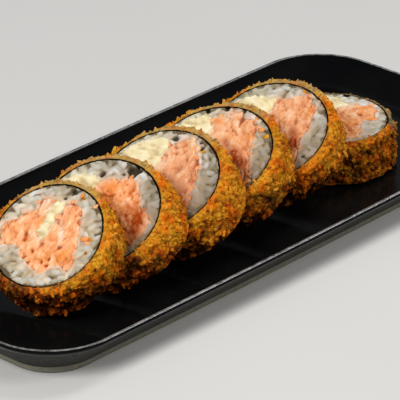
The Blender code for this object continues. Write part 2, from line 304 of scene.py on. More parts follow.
def mesh_of(name, points, faces, **numbers):
    """A mesh from points in millimetres, with its numbers stored."""
    mesh = bpy.data.meshes.new(name)
    mesh.from_pydata((np.asarray(points) * MM).tolist(), [], [tuple(int(i) for i in face) for face in faces])
    for label, values in numbers.items():
        store(mesh, label, values)
    return mesh


def closed_mesh(name, points, faces, **numbers):
    """The same, with every face of the closed shape turned outwards."""
    mesh = mesh_of(name, points, faces, **numbers)
    shape = bmesh.new()
    shape.from_mesh(mesh)
    bmesh.ops.recalc_face_normals(shape, faces=shape.faces)
    shape.to_mesh(mesh)
    shape.free()
    return mesh


def joined_mesh(name, meshes):
    """One mesh from several. Point attributes with the same name go along."""
    whole = bmesh.new()
    for mesh in meshes:
        whole.from_mesh(mesh)
    result = bpy.data.meshes.new(name)
    whole.to_mesh(result)
    whole.free()
    return result


def ring_faces(rings, steps, closed):
    """Four-sided faces between rings of points. Where closed, the last ring joins the first."""
    pairs = [(ring * steps, (ring + 1) % rings * steps) for ring in range(rings if closed else rings - 1)]
    return [(low + step, low + (step + 1) % steps, high + (step + 1) % steps, high + step)
            for low, high in pairs for step in range(steps)]


def in_scene(name, data):
    """A new object in the scene."""
    thing = bpy.data.objects.new(name, data)
    bpy.context.scene.collection.objects.link(thing)
    return thing


def add_piece(name, mesh, material, replaced=None, smooth=True):
    """The mesh as a piece of the object that rides on its one body."""
    piece = in_scene(name, mesh)
    mesh.materials.clear()
    mesh.materials.append(material)
    mesh.polygons.foreach_set("use_smooth", [smooth] * len(mesh.polygons))
    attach(piece, "root")
    if replaced:
        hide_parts(replaced)
    print(name, "has", sum(len(face.vertices) - 2 for face in mesh.polygons), "triangles")


def add_layer(piece, layer, material, loops, spacing, seed, relief):
    """A layer through the slice: a fine cut face, plain walls, and a flat back.

    relief gives, for points of the cut face, their heights and the numbers to store.
    """
    front, front_faces = fine_sheet(loops, spacing, seed)
    heights, stored = relief(front)
    back, back_faces = fine_sheet(loops, BACK_SPACING, seed)
    depths = np.full(len(back), -piece.thickness)
    points = np.vstack((np.column_stack((front, heights)), np.column_stack((back, depths))))
    shift = len(front)
    faces = [*front_faces, *(back_faces[:, ::-1] + shift)]
    faces += [(b, a, shift + a, shift + b) for a, b in loop_edges(loops)]
    stored = {label: np.append(values, np.full(len(back), values.mean())) for label, values in stored.items()}
    name = f"{layer}_{piece.number}"
    mesh = closed_mesh(name, from_slice(piece, points), faces, **stored)
    add_piece(name, mesh, material, f"slice_{piece.number}_{layer}")


def rough(points, size, seed, octaves=1):
    """Smooth noise from about -1 to 1, with bumps of about the given size in millimetres."""
    shift = Vector((seed * 17.3, seed * 5.1, seed * 9.7))
    places = [Vector((*point, 0.0)[:3]) / size + shift for point in points]
    return np.array([noise.fractal(place, 0.6, 2.0, octaves) for place in places]) * 1.4


spans = rough(test_sheet[0], 3.0, 1)
print("noise spans", spans.min().round(2), "to", spans.max().round(2))

# %% [markdown]
# ## Helpers for materials and node trees
# A shader and a geometry tree are both graphs of nodes. A wire stands for one output of a node. Wires add
# and multiply like numbers, and each sum makes its own Math node, so a recipe reads like a formula.

# %% Helpers for nodes
class Wire:
    """An output of a node in a tree."""

    def __init__(self, tree, socket):
        self.tree, self.socket = tree, socket

    def math(self, operation, first, second):
        return add_node(self.tree, "ShaderNodeMath", {0: first, 1: second}, operation=operation)

    def __add__(self, other):
        return self.math("ADD", self, other)

    def __sub__(self, other):
        return self.math("SUBTRACT", self, other)

    def __rsub__(self, other):
        return self.math("SUBTRACT", other, self)

    def __mul__(self, other):
        return self.math("MULTIPLY", self, other)

    def __rtruediv__(self, other):
        return self.math("DIVIDE", other, self)


def add_node(tree, kind, plugs=None, output=0, **settings):
    """The wire from a new node. plugs maps an input's name or number to a value or to a wire."""
    node = tree.nodes.new(kind)
    for label, value in settings.items():
        setattr(node, label, value)
    for label, value in (plugs or {}).items():
        if isinstance(value, Wire):
            tree.links.new(value.socket, node.inputs[label])
        else:
            node.inputs[label].default_value = value
    return Wire(tree, node.outputs[output])


def new_material(name, roughness, gloss, soft=()):
    """A Principled material, its tree and its shader. soft is how much, how deep and how light goes in."""
    material = bpy.data.materials.new(name)
    material.use_nodes = True
    shader = material.node_tree.nodes["Principled BSDF"]
    labels = ("Roughness", "Specular IOR Level", "Subsurface Weight", "Subsurface Scale", "Subsurface Radius")
    for label, value in zip(labels, (roughness, gloss, *soft)):
        shader.inputs[label].default_value = value
    return material, material.node_tree, shader


def object_noise(tree, size, detail=2.0, roughness=0.5):
    """Noise in the object's own space, with bumps of about the given size in millimetres."""
    place = add_node(tree, "ShaderNodeTexCoord", output="Object")
    return add_node(tree, "ShaderNodeTexNoise", {
        "Vector": place, "Scale": 1 / (size * MM), "Detail": detail, "Roughness": roughness}, "Fac")


def stored_number(tree, label):
    return add_node(tree, "ShaderNodeAttribute", output="Fac", attribute_name=label)


def stored_field(tree, label):
    """A number kept with a mesh's points, as a geometry tree reads it."""
    return add_node(tree, "GeometryNodeInputNamedAttribute", {"Name": label}, data_type="FLOAT")


def colour_ramp(factor, stops):
    """Colours along a factor. A stop is a position and a linear red, green and blue, or one grey."""
    ramp = add_node(factor.tree, "ShaderNodeValToRGB", {"Fac": factor})
    elements = ramp.socket.node.color_ramp.elements
    while len(elements) < len(stops):
        elements.new(0.5)
    for element, (position, colour) in zip(elements, stops):
        element.position = position
        element.color = (*(colour if isinstance(colour, tuple) else (colour,) * 3), 1.0)
    return ramp


def mix_colours(factor, first, second, blend="MIX"):
    """A mix of a wire and a wire or a fixed colour."""
    second = second if isinstance(second, Wire) else (*second, 1.0)
    return add_node(first.tree, "ShaderNodeMix", {0: factor, 6: first, 7: second}, 2, data_type="RGBA",
                    blend_type=blend)


def dress(shader, colour, height=None, distance=0.0, strength=1.0):
    """The colour joined to the shader, with bumps where a height is given."""
    tree = colour.tree
    tree.links.new(colour.socket, shader.inputs["Base Color"])
    if height:
        plugs = {"Height": height, "Distance": distance * MM, "Strength": strength}
        bump = add_node(tree, "ShaderNodeBump", plugs)
        tree.links.new(bump.socket, shader.inputs["Normal"])


def speckled(name, roughness, gloss, grain, stops, bump=()):
    """A finish whose colour follows one noise: its size, detail and roughness. bump raises it as well."""
    material, tree, shader = new_material(name, roughness, gloss)
    pattern = object_noise(tree, *grain)
    dress(shader, colour_ramp(pattern, stops), pattern if bump else None, *bump)
    return material


def new_tree(name, **numbers):
    """A geometry tree with one named input for each number, and the wires from all its inputs."""
    tree = bpy.data.node_groups.new(name, "GeometryNodeTree")
    for way in ("INPUT", "OUTPUT"):
        tree.interface.new_socket("Geometry", in_out=way, socket_type="NodeSocketGeometry")
    for label, value in numbers.items():
        kind = "NodeSocketInt" if isinstance(value, int) else "NodeSocketFloat"
        tree.interface.new_socket(label, in_out="INPUT", socket_type=kind).default_value = value
    source = tree.nodes.new("NodeGroupInput")
    return tree, {socket.name: Wire(tree, socket) for socket in source.outputs if socket.name}


def end_tree(geometry, material=None):
    """The geometry, in its material where one is given, joined to the tree's output."""
    tree = geometry.tree
    if material:
        plugs = {"Geometry": geometry, "Material": material}
        geometry = add_node(tree, "GeometryNodeSetMaterial", plugs)
    tree.links.new(geometry.socket, tree.nodes.new("NodeGroupOutput").inputs[0])
    return tree


def run_tree(tree, mesh, name, **numbers):
    """The plain mesh that the tree makes of a mesh. Inputs are set before the first evaluation."""
    carrier = in_scene("carrier", mesh)
    modifier = carrier.modifiers.new(tree.name, "NODES")
    modifier.node_group = tree
    for item in tree.interface.items_tree:
        if item.in_out == "INPUT" and item.name in numbers:
            modifier[item.identifier] = numbers[item.name]
    layer = bpy.context.evaluated_depsgraph_get()
    made = bpy.data.meshes.new_from_object(carrier.evaluated_get(layer), preserve_all_data_layers=True,
                                           depsgraph=layer)
    made.name = name
    carrier.modifiers.remove(modifier)
    bpy.data.objects.remove(carrier)
    return made


print("helpers ready for", len(OUTLINES), "outlines")

# %% [markdown]
# ## The tray's finish
# The tray is stoneware under a deep black glaze. Black glaze is mostly reflection, so its colour is almost
# nothing, and slow changes in its roughness make the highlights break a little. The outer wall is matte,
# where the glaze is thin, the lip is worn grey in spots, which also paints a brighter highlight along it, and
# the foot is bare, gritty clay. Painted images could do this too, but noise in the object's own space needs no
# unwrapping and shows no seams.

# %% Tray materials
def glaze_material():
    material, tree, shader = new_material("black_glaze", 0.16, 0.1)
    smears = colour_ramp(object_noise(tree, 7.0, 4.0, 0.6), [(0.3, 0.12), (0.75, 0.22)])
    tree.links.new(smears.socket, shader.inputs["Roughness"])
    stops = [(0.35, (0.0022, 0.0022, 0.0026)), (0.7, (0.0048, 0.0048, 0.0042))]
    dress(shader, colour_ramp(object_noise(tree, 30.0, 3.0), stops), object_noise(tree, 0.9), 0.02, 0.25)
    return material


GLAZE = glaze_material()
MATTE_WALL = speckled("thin_glaze_wall", 0.62, 0.22, (1.2, 4.0, 0.65), [
    (0.3, (0.006, 0.006, 0.005)), (0.5, (0.022, 0.022, 0.018)), (0.75, (0.060, 0.058, 0.048))], (0.08, 0.6))
BARE_CLAY = speckled("bare_clay_foot", 0.9, 0.15, (0.5, 4.0, 0.75), [
    (0.25, (0.085, 0.080, 0.060)), (0.55, (0.230, 0.215, 0.165)), (0.85, (0.420, 0.400, 0.320))], (0.12, 0.8))
# The worn grey lip is partly a painted highlight: its light colour brightens the line along the rim.
WORN_AND_LIT_LIP = speckled("worn_lip", 0.22, 0.5, (3.0, 4.0, 0.7), [(0.38, 0.050), (0.62, (0.260, 0.260, 0.255))])
print("tray materials:", [finish.name for finish in (GLAZE, MATTE_WALL, BARE_CLAY, WORN_AND_LIT_LIP)])

# %% [markdown]
# ## The tray
# Trays like this one are pressed in a mould. Every level line is the same rounded oblong, moved in or
# out, so the shape is a stack of such lines: up the bare foot, out along the flared wall, over the round
# lip, down the inside and through a soft curve to the floor. The long sides bow out by less than 1 mm.
# A bevelled and scaled box would be quicker, but it could not follow the section so closely.

# %% Build the tray
tray_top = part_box("tray")[1]
TRAY_HEIGHT = tray_top.z / MM
LIP_REACH = 1.2
LIP_RISE = 0.9
LIP_WEAR_AND_HIGHLIGHT = 0.25
SIDE_BOW = 0.86
CREST_HALF_LENGTH = tray_top.x / MM - LIP_REACH
CREST_HALF_WIDTH = tray_top.y / MM - LIP_REACH - SIDE_BOW
CREST_CORNER = 26.0
CORNER_STEPS = 28
LONG_STEPS = 40
SHORT_STEPS = 14
FLOOR_OF_TRAY = 4.0
# Places in the section: outward from the crest, and up.
FOOT_INSET = 9.0
FOOT_HEIGHT = 2.3
FOOT_SHADOW = 0.45
COVE_TOP = (-8.6, 5.3)
COVE_BEND = (-9.9, FLOOR_OF_TRAY)
COVE_END = (-12.5, FLOOR_OF_TRAY)
WALL_STEPS = 12
LIP_STEPS = 12
COVE_STEPS = 8
# Where the finishes change: rings of faces, counted up from the foot, and a height.
FOOT_RINGS = 4
WALL_RINGS = 17
GLAZE_EDGE = 11.7


def level_line(offset, height):
    """The tray's rounded oblong at a height, moved outwards from the crest by an offset."""
    radius = CREST_CORNER + offset
    line = []
    for quarter in range(4):
        centre_x = (1 if quarter in (0, 3) else -1) * (CREST_HALF_LENGTH - CREST_CORNER)
        centre_y = (1 if quarter in (0, 1) else -1) * (CREST_HALF_WIDTH - CREST_CORNER)
        for step in range(CORNER_STEPS + 1):
            angle = math.pi / 2 * (quarter + step / CORNER_STEPS)
            line.append((centre_x + radius * math.cos(angle), centre_y + radius * math.sin(angle), height))
        end_x, end_y = line[-1][:2]
        is_long = quarter in (0, 2)
        steps = LONG_STEPS if is_long else SHORT_STEPS
        for share in (2 * step / steps - 1 for step in range(1, steps)):
            bowed = end_y + math.copysign(SIDE_BOW * (1 - share**2), end_y)
            line.append((-end_x * share, bowed, height) if is_long else (end_x, -end_y * share, height))
    return line


def between(start, end, share):
    return tuple(a + (b - a) * share for a, b in zip(start, end))


def tray_profile():
    """The tray's section from under the foot to the floor: outward offset and height."""
    section = [(-FOOT_INSET - 0.5, 0.0), (-FOOT_INSET - 0.12, 0.12), (-FOOT_INSET, 0.5),
               (-FOOT_INSET, FOOT_HEIGHT - FOOT_SHADOW), (-FOOT_INSET, FOOT_HEIGHT),
               (-FOOT_INSET + 0.7, FOOT_HEIGHT + 0.3)]
    foot, lip = section[-1], (LIP_REACH, TRAY_HEIGHT - LIP_RISE)
    section += [between(foot, lip, step / WALL_STEPS) for step in range(1, WALL_STEPS)]
    for angle in (math.pi * step / LIP_STEPS for step in range(LIP_STEPS + 1)):
        section.append((LIP_REACH * math.cos(angle), TRAY_HEIGHT - LIP_RISE * (1 - math.sin(angle))))
    inner_lip = section[-1]
    section += [between(inner_lip, COVE_TOP, share) for share in (0.25, 0.5, 0.75)]
    for t in (step / COVE_STEPS for step in range(COVE_STEPS + 1)):
        section.append(tuple((1 - t)**2 * a + 2 * t * (1 - t) * b + t**2 * c
                             for a, b, c in zip(COVE_TOP, COVE_BEND, COVE_END)))
    return section


def ring_finish(ring, low, high):
    """The number of the material for a ring of faces between two places of the section."""
    if ring < FOOT_RINGS:
        return 2
    if FOOT_RINGS < ring < WALL_RINGS and high[1] < GLAZE_EDGE:
        return 1
    return 3 if min(low[1], high[1]) > TRAY_HEIGHT - LIP_RISE * LIP_WEAR_AND_HIGHLIGHT else 0


def build_tray():
    section = tray_profile()
    points = [point for place in section for point in level_line(*place)]
    count = len(points) // len(section)
    faces = ring_faces(len(section), count, closed=False)
    faces += [tuple(reversed(range(count))), tuple(range(len(points) - count, len(points)))]
    mesh = closed_mesh("tray_body", points, faces)
    add_piece("tray_body", mesh, GLAZE, "tray")
    for material in (MATTE_WALL, BARE_CLAY, WORN_AND_LIT_LIP):
        mesh.materials.append(material)
    rings = [ring_finish(ring, *ends) for ring, ends in enumerate(zip(section, section[1:]))]
    underside, inside_floor = ring_finish(0, *section[:2]), 0
    mesh.polygons.foreach_set("material_index", [*np.repeat(rings, count), underside, inside_floor])
    mesh.polygons[-1].use_smooth = mesh.polygons[-2].use_smooth = False


build_tray()

# %% [markdown]
# ## The crust's colours
# Panko fries unevenly: most of it is golden, other patches turn orange brown, and there are a few herbs. The
# underside is browner and craggy where it lay deep in the oil, and it is also painted darker there as shade.
# Dark holes are painted shade in the gaps between crumbs, the hollows of the relief are painted darker and
# its raised crumbs lighter, as shade, and the crest of each slice stays paler, partly as a painted highlight.
# A ramp over noise mixes those colours, and numbers stored with the mesh say where it is browned and shaded,
# pale or raised. Each loose crumb also has its own tone, so that neighbours differ.

# %% Crust material
OCHRE_STOPS = [(0.06, (0.030, 0.009, 0.002)), (0.26, (0.225, 0.072, 0.009)), (0.50, (0.600, 0.250, 0.010)),
               (0.74, (0.770, 0.400, 0.040)), (0.96, (0.880, 0.600, 0.230))]
ORANGE_STOPS = [(0.06, (0.034, 0.007, 0.002)), (0.26, (0.215, 0.042, 0.006)), (0.50, (0.640, 0.120, 0.003)),
                (0.74, (0.840, 0.240, 0.010)), (0.96, (0.880, 0.420, 0.090))]
SHADED_GAP_BROWN = (0.060, 0.018, 0.002)
HERB_GREEN = (0.085, 0.070, 0.008)
PALE_CRUMB = (0.430, 0.335, 0.130)


def crust_material(name, tone_share):
    """tone_share is how much a crumb's own tone counts against the pattern on the surface."""
    material, tree, shader = new_material(name, 0.7, 0.05)
    tone, browned, crag, pale = (stored_number(tree, label) for label in ("tone", "browned", "crag", "pale"))
    patches, blotches, drift = (object_noise(tree, *grain) for grain in ((4.5, 3.0), (2.6, 2.0), (8.0, 1.0)))
    grit = object_noise(tree, 0.8, 3.0, 0.65)
    # Low down, where browned, the crust is redder and darker: real browning, and painted shade.
    calm = browned * -0.4 + 1.0
    light = (grit - 0.5) * (0.50 * (1 - tone_share)) * calm + 0.53
    light = light + ((blotches - 0.5) * 0.7 + (drift - 0.5) * 0.6) * (browned * 0.6 + 0.4)
    # crag paints the hollows between crumbs darker and the raised crumbs lighter, as shade.
    light = light + (tone - 0.5) * (0.45 * tone_share) + crag * calm * 0.70 - browned * 0.31
    reddish = (patches - 0.5) * 4.0 + 0.28 + (tone - 0.5) * (0.8 * tone_share) + browned * 0.75
    colour = mix_colours(reddish, colour_ramp(light, OCHRE_STOPS), colour_ramp(light, ORANGE_STOPS))
    half_browned = browned * (1.0 - browned)
    herbs = colour_ramp(blotches, [(0.57, 0.0), (0.68, 0.8)]) * (half_browned * 3.2 + 0.12)
    colour = mix_colours(herbs, colour, HERB_GREEN)
    # Paler crumb at the cut ring and on the flat slice's far edge; on the crest it is partly a painted
    # highlight.
    pale_and_lit = colour_ramp(object_noise(tree, 1.5), [(0.36, 0.35), (0.60, 1.0)]) * pale
    colour = mix_colours(pale_and_lit, colour, PALE_CRUMB)
    # The holes are painted shade: dark brown specks for the shaded gaps between crumbs, more of them low down.
    holes = object_noise(tree, 0.8) - browned * 0.07 + (patches - 0.5) * 0.35
    colour = mix_colours(colour_ramp(holes, [(0.26, 0.65), (0.36, 0.0)]), colour, SHADED_GAP_BROWN)
    dress(shader, colour, grit, 0.22, 0.9)
    return material


CRUST = crust_material("fried_crust", 0.0)
CRUMB = crust_material("fried_crumb", 0.55)
print("crust materials:", CRUST.name, CRUMB.name)

# %% [markdown]
# ## The crust of each slice
# The crust is a ring round the nori. Rays shot inwards from all round find the solid's outer form, at
# every angle and depth, and that form is smoothed over a fine grid. A small geometry tree then raises it
# in cells, like crumbs pressed side by side, adds grit, and adds larger crags where it is browned. Where
# it meets the nori it stays put. Sculpting could do the same, but a tree gives all six slices one recipe.
# The slice that lies flat has a thin, greyish far edge, so its colour is set apart there.

# %% Build the crusts
CRUST_SPACING = 0.42
NORI_GAP = 0.08
RAY_START = 1.8
RAY_MARGIN = 0.03
SMOOTHINGS = 3
EDGE_DEPTH = 1.0
EDGE_STEPS = 8
# Heights over the table, in millimetres, and how far each change fades.
BROWN_AND_SHADE_BELOW, BROWN_AND_SHADE_FADE = 25.0, 14.0
CREST_ABOVE, CREST_FADE = 34.0, 6.0
CREST_RIGHT, CREST_SIDE_FADE = 15.0, 7.0
CREST_PALE = 0.75
CUT_PALE = 0.1
FLAT_SLICE = 6
FLAT_SHARE = 0.45
FAR_EDGE_UP, FAR_EDGE_FADE = 9.0, 5.0
FAR_EDGE_DEPTH, FAR_DEPTH_FADE = 4.0, 1.5
FAR_EDGE_PALE = 0.6
ROOM_MARGIN = 0.05


def crust_radii(piece, angles, depths):
    """How far out the solid crust reaches at each depth and angle, in millimetres."""
    mesh = solid(piece, "coating")
    mesh.calc_loop_triangles()
    rays = BVHTree.FromPolygons([corner.co for corner in mesh.vertices],
                                [tuple(triangle.vertices) for triangle in mesh.loop_triangles])
    start_radius = piece.radius * RAY_START
    radii = np.zeros((len(depths), len(angles)))
    for row, depth in enumerate(depths):
        level = min(max(depth, RAY_MARGIN), piece.thickness - RAY_MARGIN)
        for column, angle in enumerate(angles):
            around = np.array((math.cos(angle), math.sin(angle), 0.0))
            start = from_slice(piece, around * start_radius - (0, 0, level))
            inward = from_slice(piece, -around) - piece.centre
            radii[row, column] = start_radius - rays.ray_cast(Vector(start * MM), Vector(inward))[3] / MM
    for _ in range(SMOOTHINGS):
        radii = (np.roll(radii, 1, axis=1) + 2 * radii + np.roll(radii, -1, axis=1)) / 4
    return radii


def nori_radius(piece, angles, outer):
    """The nori's outer or inner radius at each angle."""
    loop = OUTLINES[piece.number, "nori"][0 if outer else 1]
    around = np.arctan2(loop[:, 1], loop[:, 0])
    order = np.argsort(around)
    return np.interp(angles, around[order], np.linalg.norm(loop, axis=1)[order], period=2 * math.pi)


def far_edge(points):
    """1 on the flat slice's far edge near its cut face, where the crust is thin and greyish, else 0."""
    up = np.clip((points[:, 0] - FAR_EDGE_UP) / FAR_EDGE_FADE, 0, 1)
    return up * np.clip((FAR_EDGE_DEPTH + points[:, 2]) / FAR_DEPTH_FADE, 0, 1)


def crust_rings(piece, inner, outer, depths):
    """Radii, depth and looseness of each ring: the cut edge, the outside, and the back's round edge."""

    def round_edge(radii, share):
        turn = share * math.pi / 2
        return inner + (radii - inner) * math.sin(turn), EDGE_DEPTH * (1 - math.cos(turn))

    rings = [(*round_edge(outer[0], share), min(1.0, 0.35 + 4 * share))
             for share in np.linspace(0, 1, EDGE_STEPS)[:-1]]
    rings += [(radii, depth, 1.0) for radii, depth in zip(outer, depths)
              if EDGE_DEPTH <= depth <= piece.thickness - EDGE_DEPTH]
    for share in np.linspace(1, 0, EDGE_STEPS):
        radii, depth = round_edge(outer[-1], share)
        rings.append((radii, piece.thickness - depth, share * 0.5))
    return rings


def crust_mesh(piece):
    """A closed ring: the cut edge in front, the outside, the back and the wall along the nori."""
    steps = round(2 * math.pi * (piece.radius + 3) / CRUST_SPACING)
    angles = np.linspace(-math.pi, math.pi, steps, endpoint=False)
    depths = np.linspace(0.0, piece.thickness, round(piece.thickness / CRUST_SPACING) + 1)
    outer = crust_radii(piece, angles, depths)
    rings = crust_rings(piece, nori_radius(piece, angles, True) + NORI_GAP, outer, depths)
    points = np.array([(r * math.cos(a), r * math.sin(a), -depth)
                       for radii, depth, _ in rings for r, a in zip(radii, angles)])
    placed = from_slice(piece, points)
    # Browned is 1 low down, where the crust is browner and is also painted darker as shade.
    browned = np.clip((BROWN_AND_SHADE_BELOW - placed[:, 2]) / BROWN_AND_SHADE_FADE, 0, 1)
    # The crest is paler, partly a painted highlight where light falls on the top edge.
    crest = np.clip((placed[:, 2] - CREST_ABOVE) / CREST_FADE, 0, 1)
    crest *= np.clip((CREST_RIGHT + points[:, 1]) / CREST_SIDE_FADE, 0, 1)
    cut = np.repeat(np.clip(1 - np.abs(np.arange(len(rings)) - 1.0) / 2.0, 0, 1), steps)
    pale = np.maximum(cut * CUT_PALE, crest * CREST_PALE)
    if piece.number == FLAT_SLICE:
        far = far_edge(points)
        browned, pale = np.maximum(browned * FLAT_SHARE, far), np.maximum(pale, far * FAR_EDGE_PALE)
    return closed_mesh(f"crust_{piece.number}", placed, ring_faces(len(rings), steps, closed=True),
                       loose=np.repeat([ring[2] for ring in rings], steps), browned=browned, pale=pale)


def crust_relief_tree():
    """Crumb cells, grit, and crags where the crust is browned, along the normal where it is loose."""
    tree, out = new_tree("crust_relief", crumb_size=1.7, crumb_height=1.1, grit_size=0.7, grit_height=0.8,
                         lump_size=4.4, lump_height=2.0, shift=0.0)
    place = add_node(tree, "GeometryNodeInputPosition")
    moved = add_node(tree, "ShaderNodeVectorMath", {0: place, 1: out["shift"]}, operation="ADD")
    cells = add_node(tree, "ShaderNodeTexVoronoi", {
        "Vector": moved, "Scale": (1 / MM) / out["crumb_size"]}, "Distance", feature="F1")
    crags = add_node(tree, "ShaderNodeTexVoronoi", {
        "Vector": moved, "Scale": (1 / MM) / out["lump_size"], "Smoothness": 0.35}, "Distance",
        feature="SMOOTH_F1")
    grit = add_node(tree, "ShaderNodeTexNoise", {
        "Vector": moved, "Scale": (1 / MM) / out["grit_size"], "Detail": 2.0}, "Fac")
    loose, browned = stored_field(tree, "loose"), stored_field(tree, "browned")
    height = (grit - 0.5) * out["grit_height"] + (0.42 - cells) * out["crumb_height"]
    height = height * (browned * 0.4 + 0.65) + (0.38 - crags) * out["lump_height"] * browned
    height = height * loose
    normal = add_node(tree, "GeometryNodeInputNormal")
    push = add_node(tree, "ShaderNodeVectorMath", {0: normal, "Scale": height * MM}, operation="SCALE")
    kept = add_node(tree, "GeometryNodeStoreNamedAttribute", {
        "Geometry": out["Geometry"], "Name": "crag", "Value": height}, data_type="FLOAT", domain="POINT")
    return end_tree(add_node(tree, "GeometryNodeSetPosition", {"Geometry": kept, "Offset": push}))


def keep_in_room(mesh):
    """Points held between the tray's floor and the top of the solids."""
    places = places_of(mesh)
    places[:, 2] = np.clip(places[:, 2], FLOOR_OF_TRAY + ROOM_MARGIN, solid_box[1].z / MM - ROOM_MARGIN)
    place_at(mesh, places)


relief_tree = crust_relief_tree()
crust_meshes = []
for piece in SLICES:
    name = f"crust_{piece.number}"
    crust = run_tree(relief_tree, crust_mesh(piece), name, shift=piece.number * 0.05)
    keep_in_room(crust)
    crust_meshes.append(crust)
    add_piece(name, crust, CRUST, f"slice_{piece.number}_coating")

# %% [markdown]
# ## Loose crumbs and flakes
# Panko is made of splinters, not balls. A few splinters are made: a coarse sphere, squeezed and dented.
# A geometry tree scatters them over all six crusts, turned at random and half sunk in. Points are
# left out where a neighbouring slice touches, so no crumb is stuck inside another slice, and along the
# thin far edge of the flat slice, where the photo shows none.

# %% Scatter the crumbs
CRUMB_KINDS = 5
DENT = 0.3
CLEAR_ROUND = 0.35
CLEAR_FRONT = 1.6
CLEAR_BACK = 1.2
CLEAR_FLOOR = 0.5
LOOSE_ENOUGH = 0.7


def splinter(name, seed, roundness, dent=DENT):
    """A dented crumb about 1 mm long."""
    draw = random.Random(seed)
    sizes = draw.uniform(0.9, 1.3), draw.uniform(0.45, 0.75), draw.uniform(0.35, 0.6)
    shape = bmesh.new()
    bmesh.ops.create_icosphere(shape, subdivisions=roundness, radius=0.5 * MM)
    for vertex in shape.verts:
        vertex.co *= 1 + draw.uniform(-dent, dent)
        vertex.co = [place * size for place, size in zip(vertex.co, sizes)]
    mesh = bpy.data.meshes.new(name)
    shape.to_mesh(mesh)
    shape.free()
    return mesh


def shape_box(name, meshes):
    """A collection of shapes for a tree to choose from, kept out of the scene."""
    box = bpy.data.collections.new(name)
    for mesh in meshes:
        box.objects.link(bpy.data.objects.new(mesh.name, mesh))
    return box


def empty_box(box):
    for thing in list(box.objects):
        bpy.data.objects.remove(thing)
    bpy.data.collections.remove(box)


def room_for_crumbs(points):
    """1 where a point is clear of every slice's cut face and inside, else 0."""
    free = points[:, 2] >= FLOOR_OF_TRAY + CLEAR_FLOOR
    for piece in SLICES:
        place = to_slice(piece, points)
        reach, height = np.linalg.norm(place[:, :2], axis=1), place[:, 2]
        free &= ~((reach < piece.radius + CLEAR_ROUND) & (height < CLEAR_FRONT)
                  & (height > -piece.thickness - CLEAR_BACK))
        if piece.number == FLAT_SLICE:
            free &= ~((far_edge(place) > 0.5) & (reach < piece.radius * 1.4))
    return free


def scatter(tree, out, box, density, turns, sizes, label="tone", tones=(0.0, 1.0)):
    """Shapes from a box set on a surface where it has room. Pairs are the ranges of the random values.

    The tone of each shape is stored under the label.
    """
    points = add_node(tree, "GeometryNodeDistributePointsOnFaces", {
        "Mesh": out["Geometry"], "Distance Min": out["spacing"] * MM, "Density Max": density,
        "Density Factor": stored_field(tree, "room"), "Seed": out["seed"]}, distribute_method="POISSON")
    shapes = add_node(tree, "GeometryNodeCollectionInfo", {
        "Collection": box, "Separate Children": True, "Reset Children": True})
    turn = add_node(tree, "FunctionNodeRandomValue", {0: turns[0], 1: turns[1], "Seed": out["seed"]},
                    data_type="FLOAT_VECTOR")
    size, tone = (add_node(tree, "FunctionNodeRandomValue", {2: low, 3: high}, 1, data_type="FLOAT")
                  for low, high in (sizes, tones))
    placed = add_node(tree, "GeometryNodeInstanceOnPoints", {
        "Points": points, "Instance": shapes, "Pick Instance": True, "Rotation": turn, "Scale": size})
    toned = add_node(tree, "GeometryNodeStoreNamedAttribute", {
        "Geometry": placed, "Name": label, "Value": tone}, data_type="FLOAT", domain="INSTANCE")
    return add_node(tree, "GeometryNodeRealizeInstances", {"Geometry": toned})


def crumb_tree(box):
    tree, out = new_tree("scatter_" + box.name, spacing=1.0, density=1.0, smallest=0.6, largest=1.4, seed=0)
    return end_tree(scatter(tree, out, box, out["density"] * (1 / MM**2), ((0.0,) * 3, (math.tau,) * 3),
                            (out["smallest"], out["largest"])), CRUMB)


skin = joined_mesh("crust_skin", crust_meshes)
store(skin, "room", room_for_crumbs(places_of(skin)) & (stored_in(skin, "loose") > LOOSE_ENOUGH))
SCATTERS = {
    "panko_flakes": dict(spacing=2.3, density=0.25, smallest=1.5, largest=2.9, seed=3),
    "panko_crumbs": dict(spacing=0.9, density=1.2, smallest=0.6, largest=1.35, seed=11),
}
for name, numbers in SCATTERS.items():
    roundness = 2 if name == "panko_flakes" else 1
    box = shape_box(name, [splinter(f"{name}_{kind}", 40 + kind + 10 * roundness, roundness)
                           for kind in range(CRUMB_KINDS)])
    crumbs = run_tree(crumb_tree(box), skin, name, **numbers)
    keep_in_room(crumbs)
    empty_box(box)
    add_piece(name, crumbs, CRUMB, smooth=name == "panko_crumbs")

# %% [markdown]
# ## The nori
# Nori is a crisp dark sheet that goes soft round the rice. At the cut it shows as a near-black line with
# a ragged edge, a little lower than the rice. The band follows its solid, and noise shakes only the edge
# at the cut, where the knife went through. A curve with a bevel would be as thick everywhere, and the
# real band is not.

# %% Build the nori
NORI_STEPS = 200
NORI_ROWS = 6
RAGGED = 0.16
NORI_SINK = 0.25


def nori_mesh(piece):
    angles = np.linspace(-math.pi, math.pi, NORI_STEPS, endpoint=False)
    around = np.column_stack((np.cos(angles), np.sin(angles)))
    cut = rough(around * piece.radius, 1.3, piece.number, octaves=2) * RAGGED - NORI_SINK
    depths = np.linspace(0.0, piece.thickness, NORI_ROWS)
    path = [(True, depth) for depth in depths] + [(False, depth) for depth in depths[::-1]]
    points = [np.column_stack((around * nori_radius(piece, angles, outer)[:, None],
                               np.full(NORI_STEPS, -depth) if depth else cut)) for outer, depth in path]
    return closed_mesh(f"nori_{piece.number}", from_slice(piece, np.vstack(points)),
                       ring_faces(len(path), NORI_STEPS, closed=True))


NORI = speckled("nori", 0.7, 0.06, (0.9, 4.0, 0.7), [
    (0.3, (0.0015, 0.0016, 0.0010)), (0.7, (0.012, 0.011, 0.004))], (0.1, 0.6))
for piece in SLICES:
    add_piece(f"nori_{piece.number}", nori_mesh(piece), NORI, f"slice_{piece.number}_nori")

